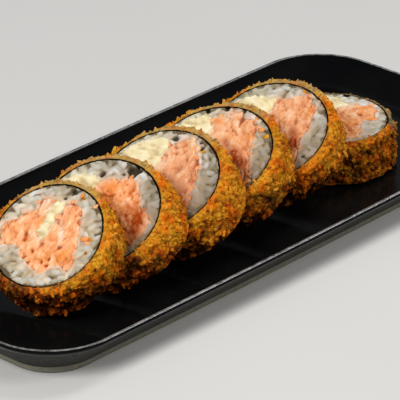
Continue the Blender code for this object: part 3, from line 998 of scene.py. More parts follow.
# %% [markdown]
# ## The colour of the rice
# Cooked rice lets light in a little way, which softens its shadows, so its material scatters light under
# the surface. Its white plays between warm and cool, and a cool tint of light from above is painted on the
# top. Cream cheese and fish have smeared the grains next to them. Painted shade darkens what lies low and on
# the right, where the next slice lies against it, and the gaps are painted near-black brown as shade.

# %% Rice material
RICE_WARM = (1.0, 0.92, 0.77)
RICE_COOL = (0.88, 0.93, 1.0)
RICE_CREAM = (0.840, 0.760, 0.500)
RICE_PINK = (0.880, 0.560, 0.380)
RICE_SHADE = (0.42, 0.34, 0.26)
GAP_SHADE_BROWN = (0.030, 0.018, 0.008)


def marked(colour, *marks):
    """A colour with others mixed in, each as strongly as a stored number says."""
    for label, *mark in marks:
        colour = mix_colours(stored_number(colour.tree, label), colour, *mark)
    return colour


def rice_material():
    material, tree, shader = new_material("cooked_rice", 0.42, 0.35, (0.4, 0.6 * MM, (1.0, 0.9, 0.75)))
    tone = stored_number(tree, "tone") + (object_noise(tree, 3.2) - 0.5) * 0.3
    colour = colour_ramp(tone, [(0.05, (0.150, 0.105, 0.055)), (0.30, (0.370, 0.300, 0.190)),
                                (0.56, (0.570, 0.500, 0.390)), (0.85, (0.800, 0.755, 0.680))])
    # The cool tint at the top is painted light: cool light from above, painted into the colour.
    hue = stored_number(tree, "cool") * 0.22 + object_noise(tree, 2.4)
    colour = mix_colours(1.0, colour, colour_ramp(hue, [(0.38, RICE_WARM), (0.62, RICE_COOL)]), "MULTIPLY")
    colour = marked(colour, ("cream", RICE_CREAM), ("pink", RICE_PINK), ("stained", RICE_SHADE, "MULTIPLY"),
                    ("pocket", GAP_SHADE_BROWN))
    dress(shader, colour, object_noise(tree, 0.9), 0.06, 0.4)
    return material


RICE = rice_material()
print("rice material:", RICE.name)

# %% [markdown]
# ## The bed of rice
# The body of the rice lies just under the cut: a sheet raised in packed lumps of a grain's size, with the
# gaps that the solid has near its top. Single grains come on top of it in the next step. Each slice's rice is
# painted as light or dark as the photo shows it, partly as light and shade, with painted shade low and on the
# right and a painted cool tint of light at the top. The first gets a painted pool of light on its left, and
# raised grains are painted lighter than the gaps between them, as shade.

# %% Build the rice bodies
RICE_SPACING = 0.5
Gap = namedtuple("Gap", "right up radius depth")
GAPS = {1: [Gap(1.9, 19.2, 1.5, 1.8), Gap(-0.6, 15.8, 0.8, 1.2)],
        2: [Gap(5.3, 19.2, 2.5, 2.6), Gap(-5.8, 15.6, 1.3, 1.5), Gap(2.6, 17.6, 0.8, 1.0)],
        3: [Gap(-4.0, 19.6, 1.4, 1.4), Gap(6.8, 20.9, 0.8, 1.6), Gap(8.4, 18.6, 0.9, 1.8)],
        4: [Gap(-5.4, 21.0, 1.4, 1.4), Gap(-12.3, 17.6, 1.2, 1.4), Gap(1.6, 21.6, 1.0, 1.0),
            Gap(20.0, -5.2, 0.9, 1.4)],
        5: [Gap(19.6, -5.4, 0.8, 1.0)],
        6: [Gap(-8.6, 20.2, 1.2, 1.2)]}
# For each slice: painted lightness, partly light and shade, and the strength of painted shade and cool light.
RICE_LIGHT = {1: -0.11, 2: -0.11, 3: -0.08, 4: -0.11, 5: -0.12, 6: -0.03}
SHADE_STRENGTH = {1: 0.0, 2: 1.0, 3: 1.0, 4: 1.0, 5: 0.6, 6: 0.25}
COOL_LIGHT_STRENGTH = {1: 0.3, 2: 1.0, 3: 0.7, 4: 0.5, 5: 1.0, 6: 1.0}
LEFT_LIGHT = 0.22
SHADE_TOP, SHADE_SIDE, SHADE_FADE = 8.0, 10.0, 17.0
COOL_ABOVE, COOL_FADE = 6.0, 10.0
RICE_TONE = 0.62
RICE_TOP = 0.25
RICE_EDGE = -0.15
SMEAR_REACH = 1.6
Lump = namedtuple("Lump", "place length width turn top height tone")


def lumps_in(loop, pitch, seed, length, width, turn, top, height, tone):
    """Seeded lumps spread over a loop. Pairs of numbers are the ranges of the draws."""
    draw = random.Random(seed)
    return [Lump(place, draw.uniform(*length), draw.uniform(*width), draw.uniform(*turn), draw.uniform(*top),
                 height, draw.uniform(*tone)) for place in scattered([loop], pitch, seed)]


def lump_field(points, lumps, floor, softness):
    """Heights and tones of packed lumps. Lumps that meet run softly into one another."""
    weight = np.full(len(points), math.exp(softness * floor))
    toned = np.zeros(len(points))
    for lump in lumps:
        away = points - lump.place
        along = away @ (math.cos(lump.turn), math.sin(lump.turn)) / lump.length
        across = away @ (-math.sin(lump.turn), math.cos(lump.turn)) / lump.width
        reach = along**2 + across**2
        dome = lump.top + lump.height * (np.sqrt(np.maximum(0, 1 - reach)) - 1)
        share = np.where(reach < 1, np.exp(softness * dome), 0)
        weight += share
        toned += share * lump.tone
    return np.log(weight) / softness, toned / weight


def gap_distance(gap, points):
    return np.hypot(points[:, 0] - gap.up, points[:, 1] + gap.right)


def gap_depth(piece, points):
    """How far each point is sunk by the gaps between the grains, in millimetres."""
    depth = np.zeros(len(points))
    shake = rough(points, 1.6, piece.number + 90) * 0.5
    for gap in GAPS[piece.number]:
        away = gap_distance(gap, points) / gap.radius + shake
        depth = np.maximum(depth, gap.depth * np.clip(1.3 - away**2, 0, 1))
    return depth


def painted_shade(piece, points):
    """Painted shade at each point: most low down and on the right, where the next slice lies against it."""
    low = np.clip((SHADE_TOP - points[:, 0]) / SHADE_FADE, 0, 1)
    side = np.clip((-points[:, 1] - SHADE_SIDE) / SHADE_FADE, 0, 1)
    return SHADE_STRENGTH[piece.number] * np.maximum(low, side)


def cool_light(piece, points):
    """How much painted cool light each point gets: most at the top, and hardly on the first slice."""
    return COOL_LIGHT_STRENGTH[piece.number] * np.clip(0.3 + (points[:, 0] - COOL_ABOVE) / COOL_FADE, 0.45, 1)


def plain_loop(piece, layer):
    """The solid's outline of a layer as a smooth but coarse loop, to measure distances from."""
    return smooth_loop(OUTLINES[piece.number, layer][0], 1.0)


def rice_relief(piece):
    outer = rice_loops[piece.number][0]
    grains = lumps_in(move_outline(outer, 0.6), 2.3, piece.number, (1.8, 2.8), (1.0, 1.5), (0, math.pi),
                      (-0.4, 0.1), 0.8, (0.5, 1.0))
    cheese, fish = plain_loop(piece, "cheese"), plain_loop(piece, "salmon")

    def relief(points):
        sunk = gap_depth(piece, points)
        crisp = np.clip(0.4 + 0.6 * (points[:, 0] - 4) / 10, 0.4, 1) if piece.number > 1 else 0.75
        heights, tone = lump_field(points, grains, -0.75, 5.0)
        heights = np.minimum(heights + rough(points, 1.4, piece.number) * 0.08, RICE_TOP)
        heights = heights * crisp + RICE_EDGE * (1 - crisp)
        rim = np.exp(-edge_distance(points, outer) / 0.5)
        heights = heights * (1 - rim) + RICE_EDGE * rim
        # Raised grains are painted lighter and low places darker, as shade.
        tone = RICE_TONE + (tone - RICE_TONE) * crisp + 0.55 * heights + RICE_LIGHT[piece.number]
        # A painted pool of light on the left of the first slice.
        if piece.number == 1:
            tone = tone + LEFT_LIGHT * np.clip((points[:, 1] - 10) / 6, 0, 1)
        smear = 0.75 + 0.6 * rough(points, 2.4, piece.number + 60)
        cream = np.clip(np.exp(-edge_distance(points, cheese) / SMEAR_REACH) * smear, 0, 0.8)
        pink = np.clip(np.exp(-edge_distance(points, fish) / SMEAR_REACH) * smear, 0, 0.75)
        # The gaps are painted near-black brown as shade, darker the deeper they sink.
        return heights - sunk, {"tone": tone, "pocket": np.clip(sunk * 1.1, 0, 0.92), "cream": cream,
                                "pink": pink, "stained": painted_shade(piece, points),
                                "cool": cool_light(piece, points)}
    return relief


def rice_outlines(piece):
    """The rice's outline, pushed out against the nori here and there, and its hole."""
    outer, hole = (smooth_loop(loop, RICE_SPACING) for loop in OUTLINES[piece.number, "rice"])
    shake = np.clip(rough(outer, 1.5, piece.number + 64, octaves=2), 0, 1)[:, None] * 0.45
    return [move_outline(outer, 1.0) * shake + outer * (1 - shake), hole]


rice_loops = {piece.number: rice_outlines(piece) for piece in SLICES}
for piece in SLICES:
    add_layer(piece, "rice", RICE, rice_loops[piece.number], RICE_SPACING, piece.number, rice_relief(piece))

# %% [markdown]
# ## Grains at the cut
# A grain of sushi rice is a short, plump bean. The knife drags some flat and leaves others whole. A tree
# scatters one grain shape over each slice's ring of rice, mostly lying down, and then presses what stands
# too far out of the cut back to a little above it. The grains next to the nori are pressed against it.
# They carry the bed's painted shade and cool light. Grains set by hand would take a day and look no better.

# %% Scatter the grains
GRAIN_LENGTH = 4.4
GRAIN_WIDTH = 2.4
GRAIN_THICKNESS = 2.0
GRAIN_BEND = 0.25
GRAIN_SIDES = 8
GRAIN_RINGS = 5
GRAIN_BED = -1.0
BEANS_PER_SQUARE_MM = 2.0
NORI_MARGIN = 0.2


def grain_mesh():
    """A plump, slightly bent bean that lies along X."""
    points = [(-GRAIN_LENGTH / 2, 0, 0)]
    for angle in (math.pi * ring / (GRAIN_RINGS + 1) for ring in range(1, GRAIN_RINGS + 1)):
        reach = GRAIN_WIDTH / 2 * math.sin(angle) ** 0.75
        for turn in (math.tau * side / GRAIN_SIDES for side in range(GRAIN_SIDES)):
            points.append((-GRAIN_LENGTH / 2 * math.cos(angle),
                           reach * math.cos(turn) + GRAIN_BEND * math.sin(angle),
                           reach * GRAIN_THICKNESS / GRAIN_WIDTH * math.sin(turn)))
    last = len(points)
    points.append((GRAIN_LENGTH / 2, 0, 0))
    faces = []
    for side in range(GRAIN_SIDES):
        after = (side + 1) % GRAIN_SIDES
        faces += [(0, 1 + after, 1 + side), (last, last - GRAIN_SIDES + side, last - GRAIN_SIDES + after)]
        faces += [(low + side, low + after, low + GRAIN_SIDES + after, low + GRAIN_SIDES + side)
                  for low in range(1, last - GRAIN_SIDES, GRAIN_SIDES)]
    return closed_mesh("rice_grain", points, faces)


def bean_tree(box, material, label, **numbers):
    """Beans scattered over a flat sheet, lying down, and pressed at the top. label names their tone."""
    tree, out = new_tree(box.name, **numbers)
    tilt, low_tilt = out["tilt"], out["tilt"] * -1.0
    ways = ((low_tilt, low_tilt, out["direction"] - out["swing"]),
            (tilt, tilt, out["direction"] + out["swing"]))
    low, high = (add_node(tree, "ShaderNodeCombineXYZ", dict(zip("XYZ", way))) for way in ways)
    beans = scatter(tree, out, box, BEANS_PER_SQUARE_MM / MM**2, (low, high), (0.8, 1.15), label,
                    (out["darkest"], out["palest"]))
    place = add_node(tree, "GeometryNodeInputPosition")
    split = add_node(tree, "ShaderNodeSeparateXYZ", {0: place})
    x, y, z = (Wire(tree, socket) for socket in split.socket.node.outputs)
    over = z.math("MAXIMUM", z - out["top"] * MM, 0.0)
    pressed = add_node(tree, "ShaderNodeCombineXYZ", {"X": x, "Y": y, "Z": z - over * out["press"]})
    cut = add_node(tree, "GeometryNodeSetPosition", {"Geometry": beans, "Position": pressed})
    return end_tree(cut, material)


def bed_mesh(points, faces, height, room):
    """A flat sheet near the cut, in the slice's own space, with the room for beans stored."""
    return mesh_of("bed", np.column_stack((points, np.full(len(points), height))), faces, room=room)


def grain_bed(piece):
    outer, hole = rice_loops[piece.number]
    points, faces = fine_sheet([move_outline(outer, -0.7), move_outline(hole, 0.35)], 1.2, piece.number + 20)
    room = gap_depth(piece, points) == 0
    for gap in GAPS[piece.number]:
        room &= gap_distance(gap, points) >= gap.radius + GRAIN_LENGTH / 2
    return bed_mesh(points, faces, GRAIN_BED, room)


def set_in_slice(piece, mesh):
    """The mesh turned from the slice's own space to its place, pressed back inside the nori."""
    places = places_of(mesh)
    reach = np.linalg.norm(places[:, :2], axis=1)
    limit = nori_radius(piece, np.arctan2(places[:, 1], places[:, 0]), False) - NORI_MARGIN
    places[:, :2] *= np.minimum(1, limit / np.maximum(reach, 1e-6))[:, None]
    # Painted shade and painted cool light, as on the bed under the grains.
    store(mesh, "stained", painted_shade(piece, places))
    store(mesh, "cool", cool_light(piece, places))
    place_at(mesh, from_slice(piece, places))


grain_box = shape_box("rice_grains", [grain_mesh()])
grains_tree = bean_tree(grain_box, RICE, "tone", spacing=3.6, direction=0.0, swing=math.pi, tilt=0.3,
                        top=0.15, press=0.5, darkest=0.4, palest=0.8, seed=0)
grain_meshes = []
for piece in SLICES:
    grains = run_tree(grains_tree, grain_bed(piece), f"grains_{piece.number}", seed=piece.number * 7)
    set_in_slice(piece, grains)
    # Each slice's painted lightness, partly light and shade, as on the bed.
    store(grains, "tone", stored_in(grains, "tone") + RICE_LIGHT[piece.number])
    grain_meshes.append(grains)
empty_box(grain_box)
add_piece("rice_grains", joined_mesh("rice_grains", grain_meshes), RICE)

# %% [markdown]
# ## The colour of the salmon
# Cooked salmon is palest where its flakes stand out; its crevices, clefts and pits are painted deeper orange
# and darker, as shade. The depth of the flesh is stored with the mesh, because the colour follows it, and
# noise mottles it. Over that lie marks: browned streaks, one of them painted shade, orange flesh, cream
# cheese that the knife dragged along, and painted shade, most low down and on the right.

# %% Salmon material
DEEP_ORANGE = (0.41, 0.062, 0.0005)
FISH_CREAM = (0.93, 0.750, 0.560)
FISH_ORANGE = (0.83, 0.285, 0.055)
FISH_SHADE = (0.52, 0.40, 0.30)


def salmon_material():
    material, tree, shader = new_material("salmon", 0.45, 0.07, (0.2, 0.5 * MM, (1.0, 0.45, 0.25)))
    flesh = stored_number(tree, "flesh") + (object_noise(tree, 1.1, 3.0, 0.6) - 0.5) * 0.7
    flesh = flesh + (object_noise(tree, 3.5, 1.0) - 0.5) * 0.8
    colour = colour_ramp(flesh, [(0.03, (0.40, 0.080, 0.012)), (0.25, (0.70, 0.225, 0.070)),
                                 (0.48, (0.88, 0.370, 0.152)), (0.72, (0.92, 0.495, 0.260)),
                                 (0.95, (0.95, 0.700, 0.470))])
    colour = marked(colour, ("orange", FISH_ORANGE), ("creamy", FISH_CREAM), ("browned", DEEP_ORANGE),
                    ("stained", FISH_SHADE, "MULTIPLY"))
    dress(shader, colour, object_noise(tree, 0.6, 3.0), 0.07, 0.5)
    return material


SALMON = salmon_material()
print("salmon material:", SALMON.name)

# %% [markdown]
# ## Patches of the salmon
# No two slices are alike, so each has its own list of marks, read off the photo: deep clefts, small pits,
# browned streaks, and orange and cream patches. A patch is a soft oval: how far right and up of the slice's
# middle it lies, its length and width, its turn in degrees and its strength.

# %% Patches
# Clefts and pits are sunk and also painted darker, as shade.
PATCHES = {
    1: {
        "cleft": [(-8.3, -1.4, 3.2, 0.9, -14, 1.0), (-8.3, 8.4, 3.4, 0.6, -8, 0.6),
                  (3.6, 14.6, 1.8, 0.5, 90, 0.8)],
        "orange": [(-5.2, 4.4, 3.4, 1.5, 6, 1.0), (-6.6, 12.2, 2.6, 2.2, 0, 0.3),
                   (9.4, -6.0, 3.0, 1.6, 0, 0.8), (1.2, 0.2, 1.8, 1.3, 30, 0.8)],
        "cream": [(-6.6, 12.2, 3.0, 2.2, 0, 1.0), (4.6, 2.2, 4.6, 1.1, -22, 0.8)],
        "pit": [(-2.8, -7.0, 1.0, 0.6, -30, 1.0), (6.6, -3.3, 0.9, 0.6, 30, 1.0),
                (4.9, -8.8, 0.8, 0.6, 0, 0.9), (2.6, -10.4, 1.1, 0.5, -20, 0.8),
                (5.2, -11.4, 1.0, 0.6, 60, 0.9), (0.6, 9.6, 0.8, 0.8, 0, 0.6)]},
    2: {
        "browned": [(15.4, -0.6, 6.0, 1.9, -18, 1.5), (9.5, 5.5, 2.0, 1.1, -35, 0.5)],
        "orange": [(0.0, 11.6, 2.6, 3.2, 0, 0.8), (6.0, 2.0, 3.0, 1.6, -20, 0.8)],
        "cleft": [(0.2, 7.8, 2.0, 0.5, 80, 1.0)],
        "cream": [(19.2, 0.2, 2.8, 1.2, -10, 0.5), (-2.4, 14.0, 1.6, 2.4, 0, 0.5)]},
    3: {
        # The third slice's last browned patch is painted shade on its low part.
        "browned": [(11.0, 11.6, 1.9, 1.3, -20, 0.8), (5.2, 7.2, 2.8, 1.4, 18, 0.7),
                    (8.0, 0.0, 4.5, 5.5, -30, 0.35)],
        "cleft": [(-0.2, 13.5, 1.6, 0.5, 80, 0.9), (1.2, 17.4, 1.8, 0.5, 40, 0.8),
                  (5.6, 12.4, 1.8, 0.5, -30, 0.8)],
        "orange": [(2.0, 19.0, 2.0, 1.6, 0, 0.35)],
        "cream": [(-2.4, 6.0, 4.5, 1.4, 10, 0.5)]},
    4: {
        "pit": [(3.1, 18.4, 1.9, 0.8, 5, 1.0)],
        "orange": [(-6.0, 14.4, 1.5, 1.5, 0, 1.0), (10.0, 11.8, 1.6, 1.5, 0, 1.0),
                   (3.0, 9.0, 2.0, 3.2, 0, 0.4)],
        "cream": [(-2.4, 18.4, 3.2, 2.0, 0, 0.75)],
        "browned": [(2.4, 6.6, 2.2, 1.3, -30, 0.6), (10.4, 1.2, 6.4, 2.1, -56, 1.3),
                    (11.0, 7.2, 2.0, 1.6, 0, 0.25)],
        "cleft": [(1.0, 13.5, 2.6, 0.5, -35, 0.6)]},
    5: {
        "browned": [(-2.4, 6.4, 1.7, 1.6, 0, 1.2), (11.2, 1.4, 5.2, 1.6, -34, 0.75),
                    (12.6, -1.8, 1.8, 1.4, -20, 1.5), (10.6, 9.4, 2.0, 2.2, 0, 0.22)],
        "cleft": [(2.8, 3.9, 1.8, 0.6, -40, 0.9), (8.0, 7.8, 2.8, 0.6, -28, 0.8),
                  (0.5, 12.0, 2.6, 0.5, -50, 0.5)],
        "orange": [(6.4, 19.0, 2.0, 1.8, 0, 0.2), (11.0, 13.0, 2.6, 1.4, -20, 0.9)]},
    6: {
        "orange": [(3.8, 16.4, 3.4, 2.0, -20, 0.9), (12.0, 10.0, 2.0, 1.8, 0, 0.9),
                   (9.0, 1.0, 3.0, 2.6, -50, 1.0), (15.0, -4.6, 3.0, 1.9, -45, 1.0)],
        "browned": [(12.9, 8.1, 1.3, 0.9, 0, 0.9)],
        "cleft": [(6.6, 10.6, 2.4, 0.7, -40, 0.8), (10.6, 3.2, 3.0, 0.6, -40, 0.6),
                  (9.4, -1.0, 2.6, 0.45, -65, 0.8), (12.4, -3.2, 2.4, 0.45, -60, 0.7)],
        "cream": [(-1.0, 12.6, 3.4, 2.0, 0, 0.6)]},
}


def patch_strength(points, number, kind):
    """How strongly a slice's patches of one kind mark each point of its cut face."""
    total = np.zeros(len(points))
    for patch_right, patch_up, length, width, degrees, strength in PATCHES[number].get(kind, ()):
        right, up, turn = -points[:, 1] - patch_right, points[:, 0] - patch_up, math.radians(degrees)
        along = up * math.cos(turn) + right * math.sin(turn)
        across = right * math.cos(turn) - up * math.sin(turn)
        total += strength * np.exp(-(along / length) ** 2 - (across / width) ** 2)
    return np.clip(total, 0, 1)


print("patches of each slice:", {number: sum(map(len, kinds.values())) for number, kinds in PATCHES.items()})

# %% [markdown]
# ## The salmon
# The fish fills the middle of each slice. Its flakes lean one way, so its cut face is packed with lumps
# that lean along the grain, large ones with small ones between them, and fine fibres are stretched along
# it too. Its outline is shaken in and out like crumbled food, and where the shaken line would cross
# itself, the tiny knot is cut off, because a knot would leave holes in the mesh.

# %% Build the salmon
SALMON_SPACING = 0.36
OVERLAP = 0.9
RAGGED_EDGE = 0.5
GROWTH_STEP = 0.3
KNOT_STEPS = 10
EDGE_FADE = 0.5
FLAKE_LEAN = {1: 5, 2: 25, 3: 20, 4: 35, 5: 35, 6: 40}
# For each slice: a least share of cream tint, and with it a least painted shade on the flesh.
FISH_CREAM_AND_SHADE = {1: 0.0, 2: 0.0, 3: 0.16, 4: 0.12, 5: 0.13, 6: 0.05}
# For each slice: how much lighter or darker the flesh is painted, partly as shade.
FISH_LIGHT = {1: -0.07, 2: -0.12, 3: 0.0, 4: -0.03, 5: -0.03, 6: 0.0}
SALMON_LOWEST, SALMON_HIGHEST = -2.4, 0.5


def grown(loop, distance):
    """A loop moved outwards bit by bit and smoothed on the way, so that it never crosses itself."""
    for _ in range(round(distance / GROWTH_STEP)):
        loop = move_outline(loop, GROWTH_STEP)
        loop = (np.roll(loop, 1, axis=0) + 2 * loop + np.roll(loop, -1, axis=0)) / 4
    return loop


def untangled(loop):
    """A loop without the tiny knots where neighbouring stretches of it cross."""
    index = 0
    while index < len(loop) - 3:
        for step in range(2, min(KNOT_STEPS, len(loop) - index - 1)):
            ends = [Vector(loop[place]) for place in (index, index + 1, index + step, index + step + 1)]
            crossing = intersect_line_line_2d(*ends)
            if crossing:
                loop = np.vstack((loop[:index + 1], [crossing], loop[index + step + 1:]))
                break
        index += 1
    return loop


def ragged_edge(piece, layer, spacing, overlap, amount, seed):
    """A layer's outline grown over its neighbours and shaken like the edge of crumbled food."""
    loop = grown(smooth_loop(OUTLINES[piece.number, layer][0], spacing), overlap)
    shake = rough(loop, 1.7, piece.number + seed, octaves=2)[:, None] * amount
    return untangled(move_outline(loop, 1.0) * shake + loop * (1 - shake))


def salmon_relief(piece, edge):
    number = piece.number
    grain = math.radians(FLAKE_LEAN[number])
    room, cheese = grown(plain_loop(piece, "salmon"), OVERLAP), plain_loop(piece, "cheese")
    big = lumps_in(room, 3.4, number + 3, (2.4, 5.0), (1.4, 2.6), (grain - 0.7, grain + 0.7), (-0.7, 0.2), 0.8,
                   (0.3, 1.0))
    small = lumps_in(room, 1.8, number + 6, (1.2, 2.9), (0.4, 0.8), (grain - 0.5, grain + 0.5), (-0.9, 0.0),
                     0.4, (0.0, 1.0))

    def relief(points):
        bend = np.column_stack((points[:, 0], points[:, 1] + rough(points, 7.0, number + 3) * 1.6))
        heights, tone = lump_field(bend, big + small, -0.8, 7.0)
        fibres = rough(np.column_stack((points[:, 0] / 3.0, points[:, 1])), 0.8, number + 12, octaves=2)
        clefts, pits, browned, streaks, orange = (
            patch_strength(points, number, kind) for kind in ("cleft", "pit", "browned", "cream", "orange"))
        from_edge = edge_distance(points, edge)
        creases = np.clip(-heights - 0.2, 0, 1) * (1 - np.exp(-from_edge / 1.5))
        # Creases, clefts and pits are painted darker, as shade.
        flesh = (0.30 + FISH_LIGHT[number] + 0.50 * tone + 0.16 * fibres - 0.45 * creases - 0.6 * clefts
                 - 0.9 * pits)
        near = np.exp(-edge_distance(points, cheese) / SMEAR_REACH)
        near = near * (0.9 + 0.8 * rough(points, 1.8, number + 14))
        faded = np.exp(-from_edge / 0.9) * (0.45 + 0.9 * rough(points, 1.6, number + 16))
        creamy = np.maximum(np.maximum(near, streaks * (0.9 + 0.6 * fibres)), faded)
        creamy = np.clip(creamy, FISH_CREAM_AND_SHADE[number], 0.85) * (1 - orange * 0.95)
        border = np.exp(-from_edge / EDGE_FADE)
        heights = heights + 0.22 * fibres - 0.8 * clefts - 1.4 * pits - 0.7 * border + 0.1
        return np.clip(heights, SALMON_LOWEST, SALMON_HIGHEST), {
            "flesh": flesh, "browned": np.clip(browned * (0.95 + 0.5 * fibres), 0, 1), "creamy": creamy,
            "orange": orange * 0.95, "stained": np.maximum(painted_shade(piece, points), FISH_CREAM_AND_SHADE[number] * 1.2)}
    return relief


for piece in SLICES:
    edge = ragged_edge(piece, "salmon", SALMON_SPACING, OVERLAP, RAGGED_EDGE, 70)
    add_layer(piece, "salmon", SALMON, [edge], SALMON_SPACING, piece.number + 30, salmon_relief(piece, edge))

# %% [markdown]
# ## Loose flakes of salmon
# Where the salmon meets the rice the knife drags small flakes over the border. The tree of the rice
# grains scatters them too: splinters instead of beans, turned along the grain of the fish and only near
# the border. Their colour comes from the salmon's own material, each with its own depth of colour.

# %% Scatter the salmon flakes
FLAKE_BED = -0.4
FLAKE_REACH = 0.9
FLAKE_KINDS = 3
FLAKE_SIZE = Matrix.Diagonal((2.6, 3.2, 1.8, 1.0))


def flake_bed(piece):
    loop = plain_loop(piece, "salmon")
    points, faces = fine_sheet([grown(loop, 1.2)], 0.9, piece.number + 80)
    return bed_mesh(points, faces, FLAKE_BED, edge_distance(points, loop) < FLAKE_REACH)


flake_shapes = [splinter(f"flake_{kind}", 90 + kind, 2) for kind in range(FLAKE_KINDS)]
for shape in flake_shapes:
    shape.transform(FLAKE_SIZE)
flake_box = shape_box("salmon_flakes", flake_shapes)
flakes_tree = bean_tree(flake_box, SALMON, "flesh", spacing=3.0, direction=0.5, swing=0.9, tilt=0.25, top=0.1,
                        press=0.5, darkest=0.35, palest=0.7, seed=0)
flake_meshes = []
for piece in SLICES:
    flakes = run_tree(flakes_tree, flake_bed(piece), f"flakes_{piece.number}", seed=piece.number * 5,
                      direction=math.radians(FLAKE_LEAN[piece.number]))
    set_in_slice(piece, flakes)
    flake_meshes.append(flakes)
empty_box(flake_box)
add_piece("salmon_flakes", joined_mesh("salmon_flakes", flake_meshes), SALMON)

# %% [markdown]
# ## The cream cheese
# Cream cheese is smeared by the knife: smooth, softly folded, and a little glossy. Its folds are slow
# noise, stretched across the cut, and it lets light in deeper than the fish does. It is laid like the
# salmon, over its neighbours by a little, so that no gap shows between them.

# %% Build the cheese
CHEESE_SPACING = 0.5
CHEESE_RAGGED = 0.7


def cheese_material():
    material, tree, shader = new_material("cream_cheese", 0.34, 0.5, (0.4, 2.2 * MM, (1.0, 0.8, 0.45)))
    tone = stored_number(tree, "tone") * 0.4 + object_noise(tree, 4.5, 3.0) * 0.6
    colour = colour_ramp(tone, [(0.28, (0.60, 0.46, 0.23)), (0.48, (0.84, 0.70, 0.40)),
                                (0.70, (0.93, 0.84, 0.57))])
    dress(shader, colour, object_noise(tree, 1.2), 0.1, 0.3)
    return material


def cheese_relief(piece, edge):

    def relief(points):
        smear = np.column_stack((points[:, 0], points[:, 1] / 2.2))
        folds = rough(smear, 2.6, piece.number + 40, octaves=2)
        lumps = rough(points, 1.3, piece.number + 44) * 0.12
        border = np.exp(-edge_distance(points, edge) / EDGE_FADE)
        return np.minimum(folds * 0.3 + lumps + 0.3 - 0.9 * border, 0.5), {"tone": folds * 0.5 + lumps + 0.5}
    return relief


CHEESE = cheese_material()
for piece in SLICES:
    edge = ragged_edge(piece, "cheese", CHEESE_SPACING, OVERLAP, CHEESE_RAGGED, 75)
    add_layer(piece, "cheese", CHEESE, [edge], CHEESE_SPACING, piece.number + 50, cheese_relief(piece, edge))

# %% [markdown]
# ## Stray bits
# The knife drags bits of fish and crust over the rice. A few of them show in the photo, so they are put
# where they lie there: dented crumbs, pressed flat, each given by its slice, place, size, material and
# tone. The tone of a bit of crust is how light it is, and that of a bit of fish is how creamy it is.

# %% Set the stray bits
Bit = namedtuple("Bit", "number right up size material tone")
BITS = [Bit(1, 5.4, 18.2, 2.2, SALMON, 0.0), Bit(1, 6.8, 17.6, 1.4, CRUMB, 0.5),
        Bit(1, 12.2, 15.4, 1.9, SALMON, 0.3), Bit(1, 14.2, 2.2, 2.8, SALMON, 0.1),
        Bit(1, 16.0, 0.8, 2.2, SALMON, 0.25), Bit(1, 16.6, 2.4, 1.6, CRUMB, 0.9),
        Bit(1, 17.2, -3.0, 1.4, CRUMB, 0.1), Bit(4, 12.8, 16.2, 2.4, SALMON, 0.1),
        Bit(4, 16.2, 13.8, 2.0, CRUMB, 0.9), Bit(4, 8.0, 20.4, 1.4, CRUMB, 0.6),
        Bit(5, 4.0, 21.2, 1.4, CRUMB, 0.8), Bit(3, 10.2, 17.4, 1.4, CRUMB, 0.5)]
BIT_LIFT = -0.1
BIT_FLATNESS = 0.5
BIT_DENT = 0.38
BIT_SHAPE = (1.0, 1.4, 1.2)


def bit_mesh(bit, seed):
    """One flat bit on a slice's cut face."""
    mesh = splinter(f"bit_{seed}", seed, 2, BIT_DENT)
    turn = random.Random(seed).uniform(0, math.pi)
    x, y, z = (places_of(mesh) * bit.size * BIT_SHAPE).T
    up = x * math.cos(turn) - y * math.sin(turn) + bit.up
    left = x * math.sin(turn) + y * math.cos(turn) - bit.right
    points = np.column_stack((up, left, z * BIT_FLATNESS + BIT_LIFT))
    place_at(mesh, from_slice(SLICES[bit.number - 1], points))
    fish = {"flesh": 0.5, "orange": 1.0, "creamy": bit.tone}
    numbers = {"tone": bit.tone} if bit.material is CRUMB else fish
    for label, value in numbers.items():
        store(mesh, label, np.full(len(points), value))
    return mesh


for name, material, slot in (("stray_fish", SALMON, "salmon"), ("stray_crumbs", CRUMB, "coating")):
    chosen = [bit_mesh(bit, 200 + index) for index, bit in enumerate(BITS) if bit.material is material]
    add_piece(name, joined_mesh(name, chosen), material)

# %% [markdown]
# ## Floor, light and camera
# The tray stands on a pale floor. A black glaze shows whatever it mirrors, so only the lamp on the right
# is mirrored: it draws the thin bright lines along the rim. The left and front lamps would leave soft
# round spots in the tray's far corner, so the glaze doesn't mirror them. The camera is far away with a
# long lens, because the photo hardly narrows towards the back.

# %% Stage
FLOOR_REACH = 6.0
FLOOR_DROP = 0.0002
SENSOR_WIDTH = 36.0
VIEW_AZIMUTH = math.radians(42.2)
VIEW_DROP = math.radians(25.7)
VIEW_DISTANCE = 1296.3
VIEW_TARGET = (-5.84, -7.40, 13.6)
FOCAL_PIXELS = 3500.0
PICTURE_PIXELS = 400.0


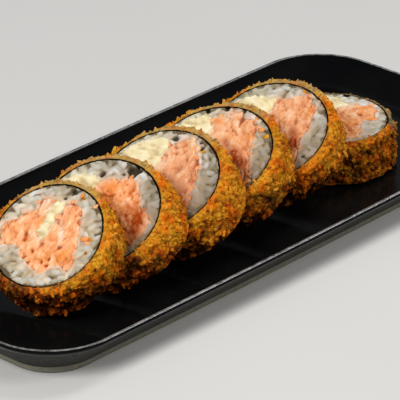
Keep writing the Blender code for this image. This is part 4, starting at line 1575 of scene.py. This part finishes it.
def add_floor():
    mesh = bpy.data.meshes.new("floor")
    corners = [(x * FLOOR_REACH, y * FLOOR_REACH, 0) for x, y in ((-1, -1), (1, -1), (1, 1), (-1, 1))]
    mesh.from_pydata(corners, [], [(0, 1, 2, 3)])
    floor = in_scene("floor", mesh)
    floor.location.z = -FLOOR_DROP
    material, tree, shader = new_material("pale_floor", 0.8, 0.5)
    stops = [(0.2, (0.62, 0.61, 0.59)), (0.8, (0.68, 0.67, 0.65))]
    dress(shader, colour_ramp(object_noise(tree, 300.0), stops))
    mesh.materials.append(material)


def add_lamp(name, place, power, size, colour, mirrored):
    lamp = bpy.data.lights.new(name, "AREA")
    lamp.shape, lamp.size, lamp.energy, lamp.color = "DISK", size, power, colour
    holder = in_scene(name, lamp)
    holder.visible_glossy = mirrored
    holder.location = place
    holder.rotation_euler = (-Vector(place)).to_track_quat("-Z", "Y").to_euler()


def add_world():
    world = bpy.data.worlds.new("dim_room")
    world.use_nodes = True
    background = world.node_tree.nodes["Background"]
    background.inputs["Color"].default_value = (0.85, 0.92, 1.0, 1.0)
    background.inputs["Strength"].default_value = 0.20
    bpy.context.scene.world = world


def add_camera():
    forward = Vector((math.cos(VIEW_AZIMUTH) * math.cos(VIEW_DROP),
                      math.sin(VIEW_AZIMUTH) * math.cos(VIEW_DROP), -math.sin(VIEW_DROP)))
    data = bpy.data.cameras.new("camera")
    data.sensor_width = SENSOR_WIDTH
    data.lens = FOCAL_PIXELS / PICTURE_PIXELS * data.sensor_width
    data.clip_start = 0.05
    camera = in_scene("camera", data)
    camera.location = (Vector(VIEW_TARGET) - forward * VIEW_DISTANCE) * MM
    camera.rotation_euler = forward.to_track_quat("-Z", "Y").to_euler()
    bpy.context.scene.camera = camera
    return camera


add_floor()
add_lamp("left", (-1.03, -0.10, 0.94), 14.5, 0.6, (1.0, 0.99, 0.98), False)
add_lamp("right", (0.90, 0.0, 1.07), 6.2, 0.5, (1.0, 0.98, 0.96), True)
add_lamp("front", (0.37, -1.01, 0.90), 6.0, 0.6, (1.0, 0.97, 0.94), False)
add_world()
camera = add_camera()
bpy.context.scene.view_settings.view_transform = "Standard"
print("camera at", [round(v, 3) for v in camera.location], "lens", camera.data.lens, "mm")
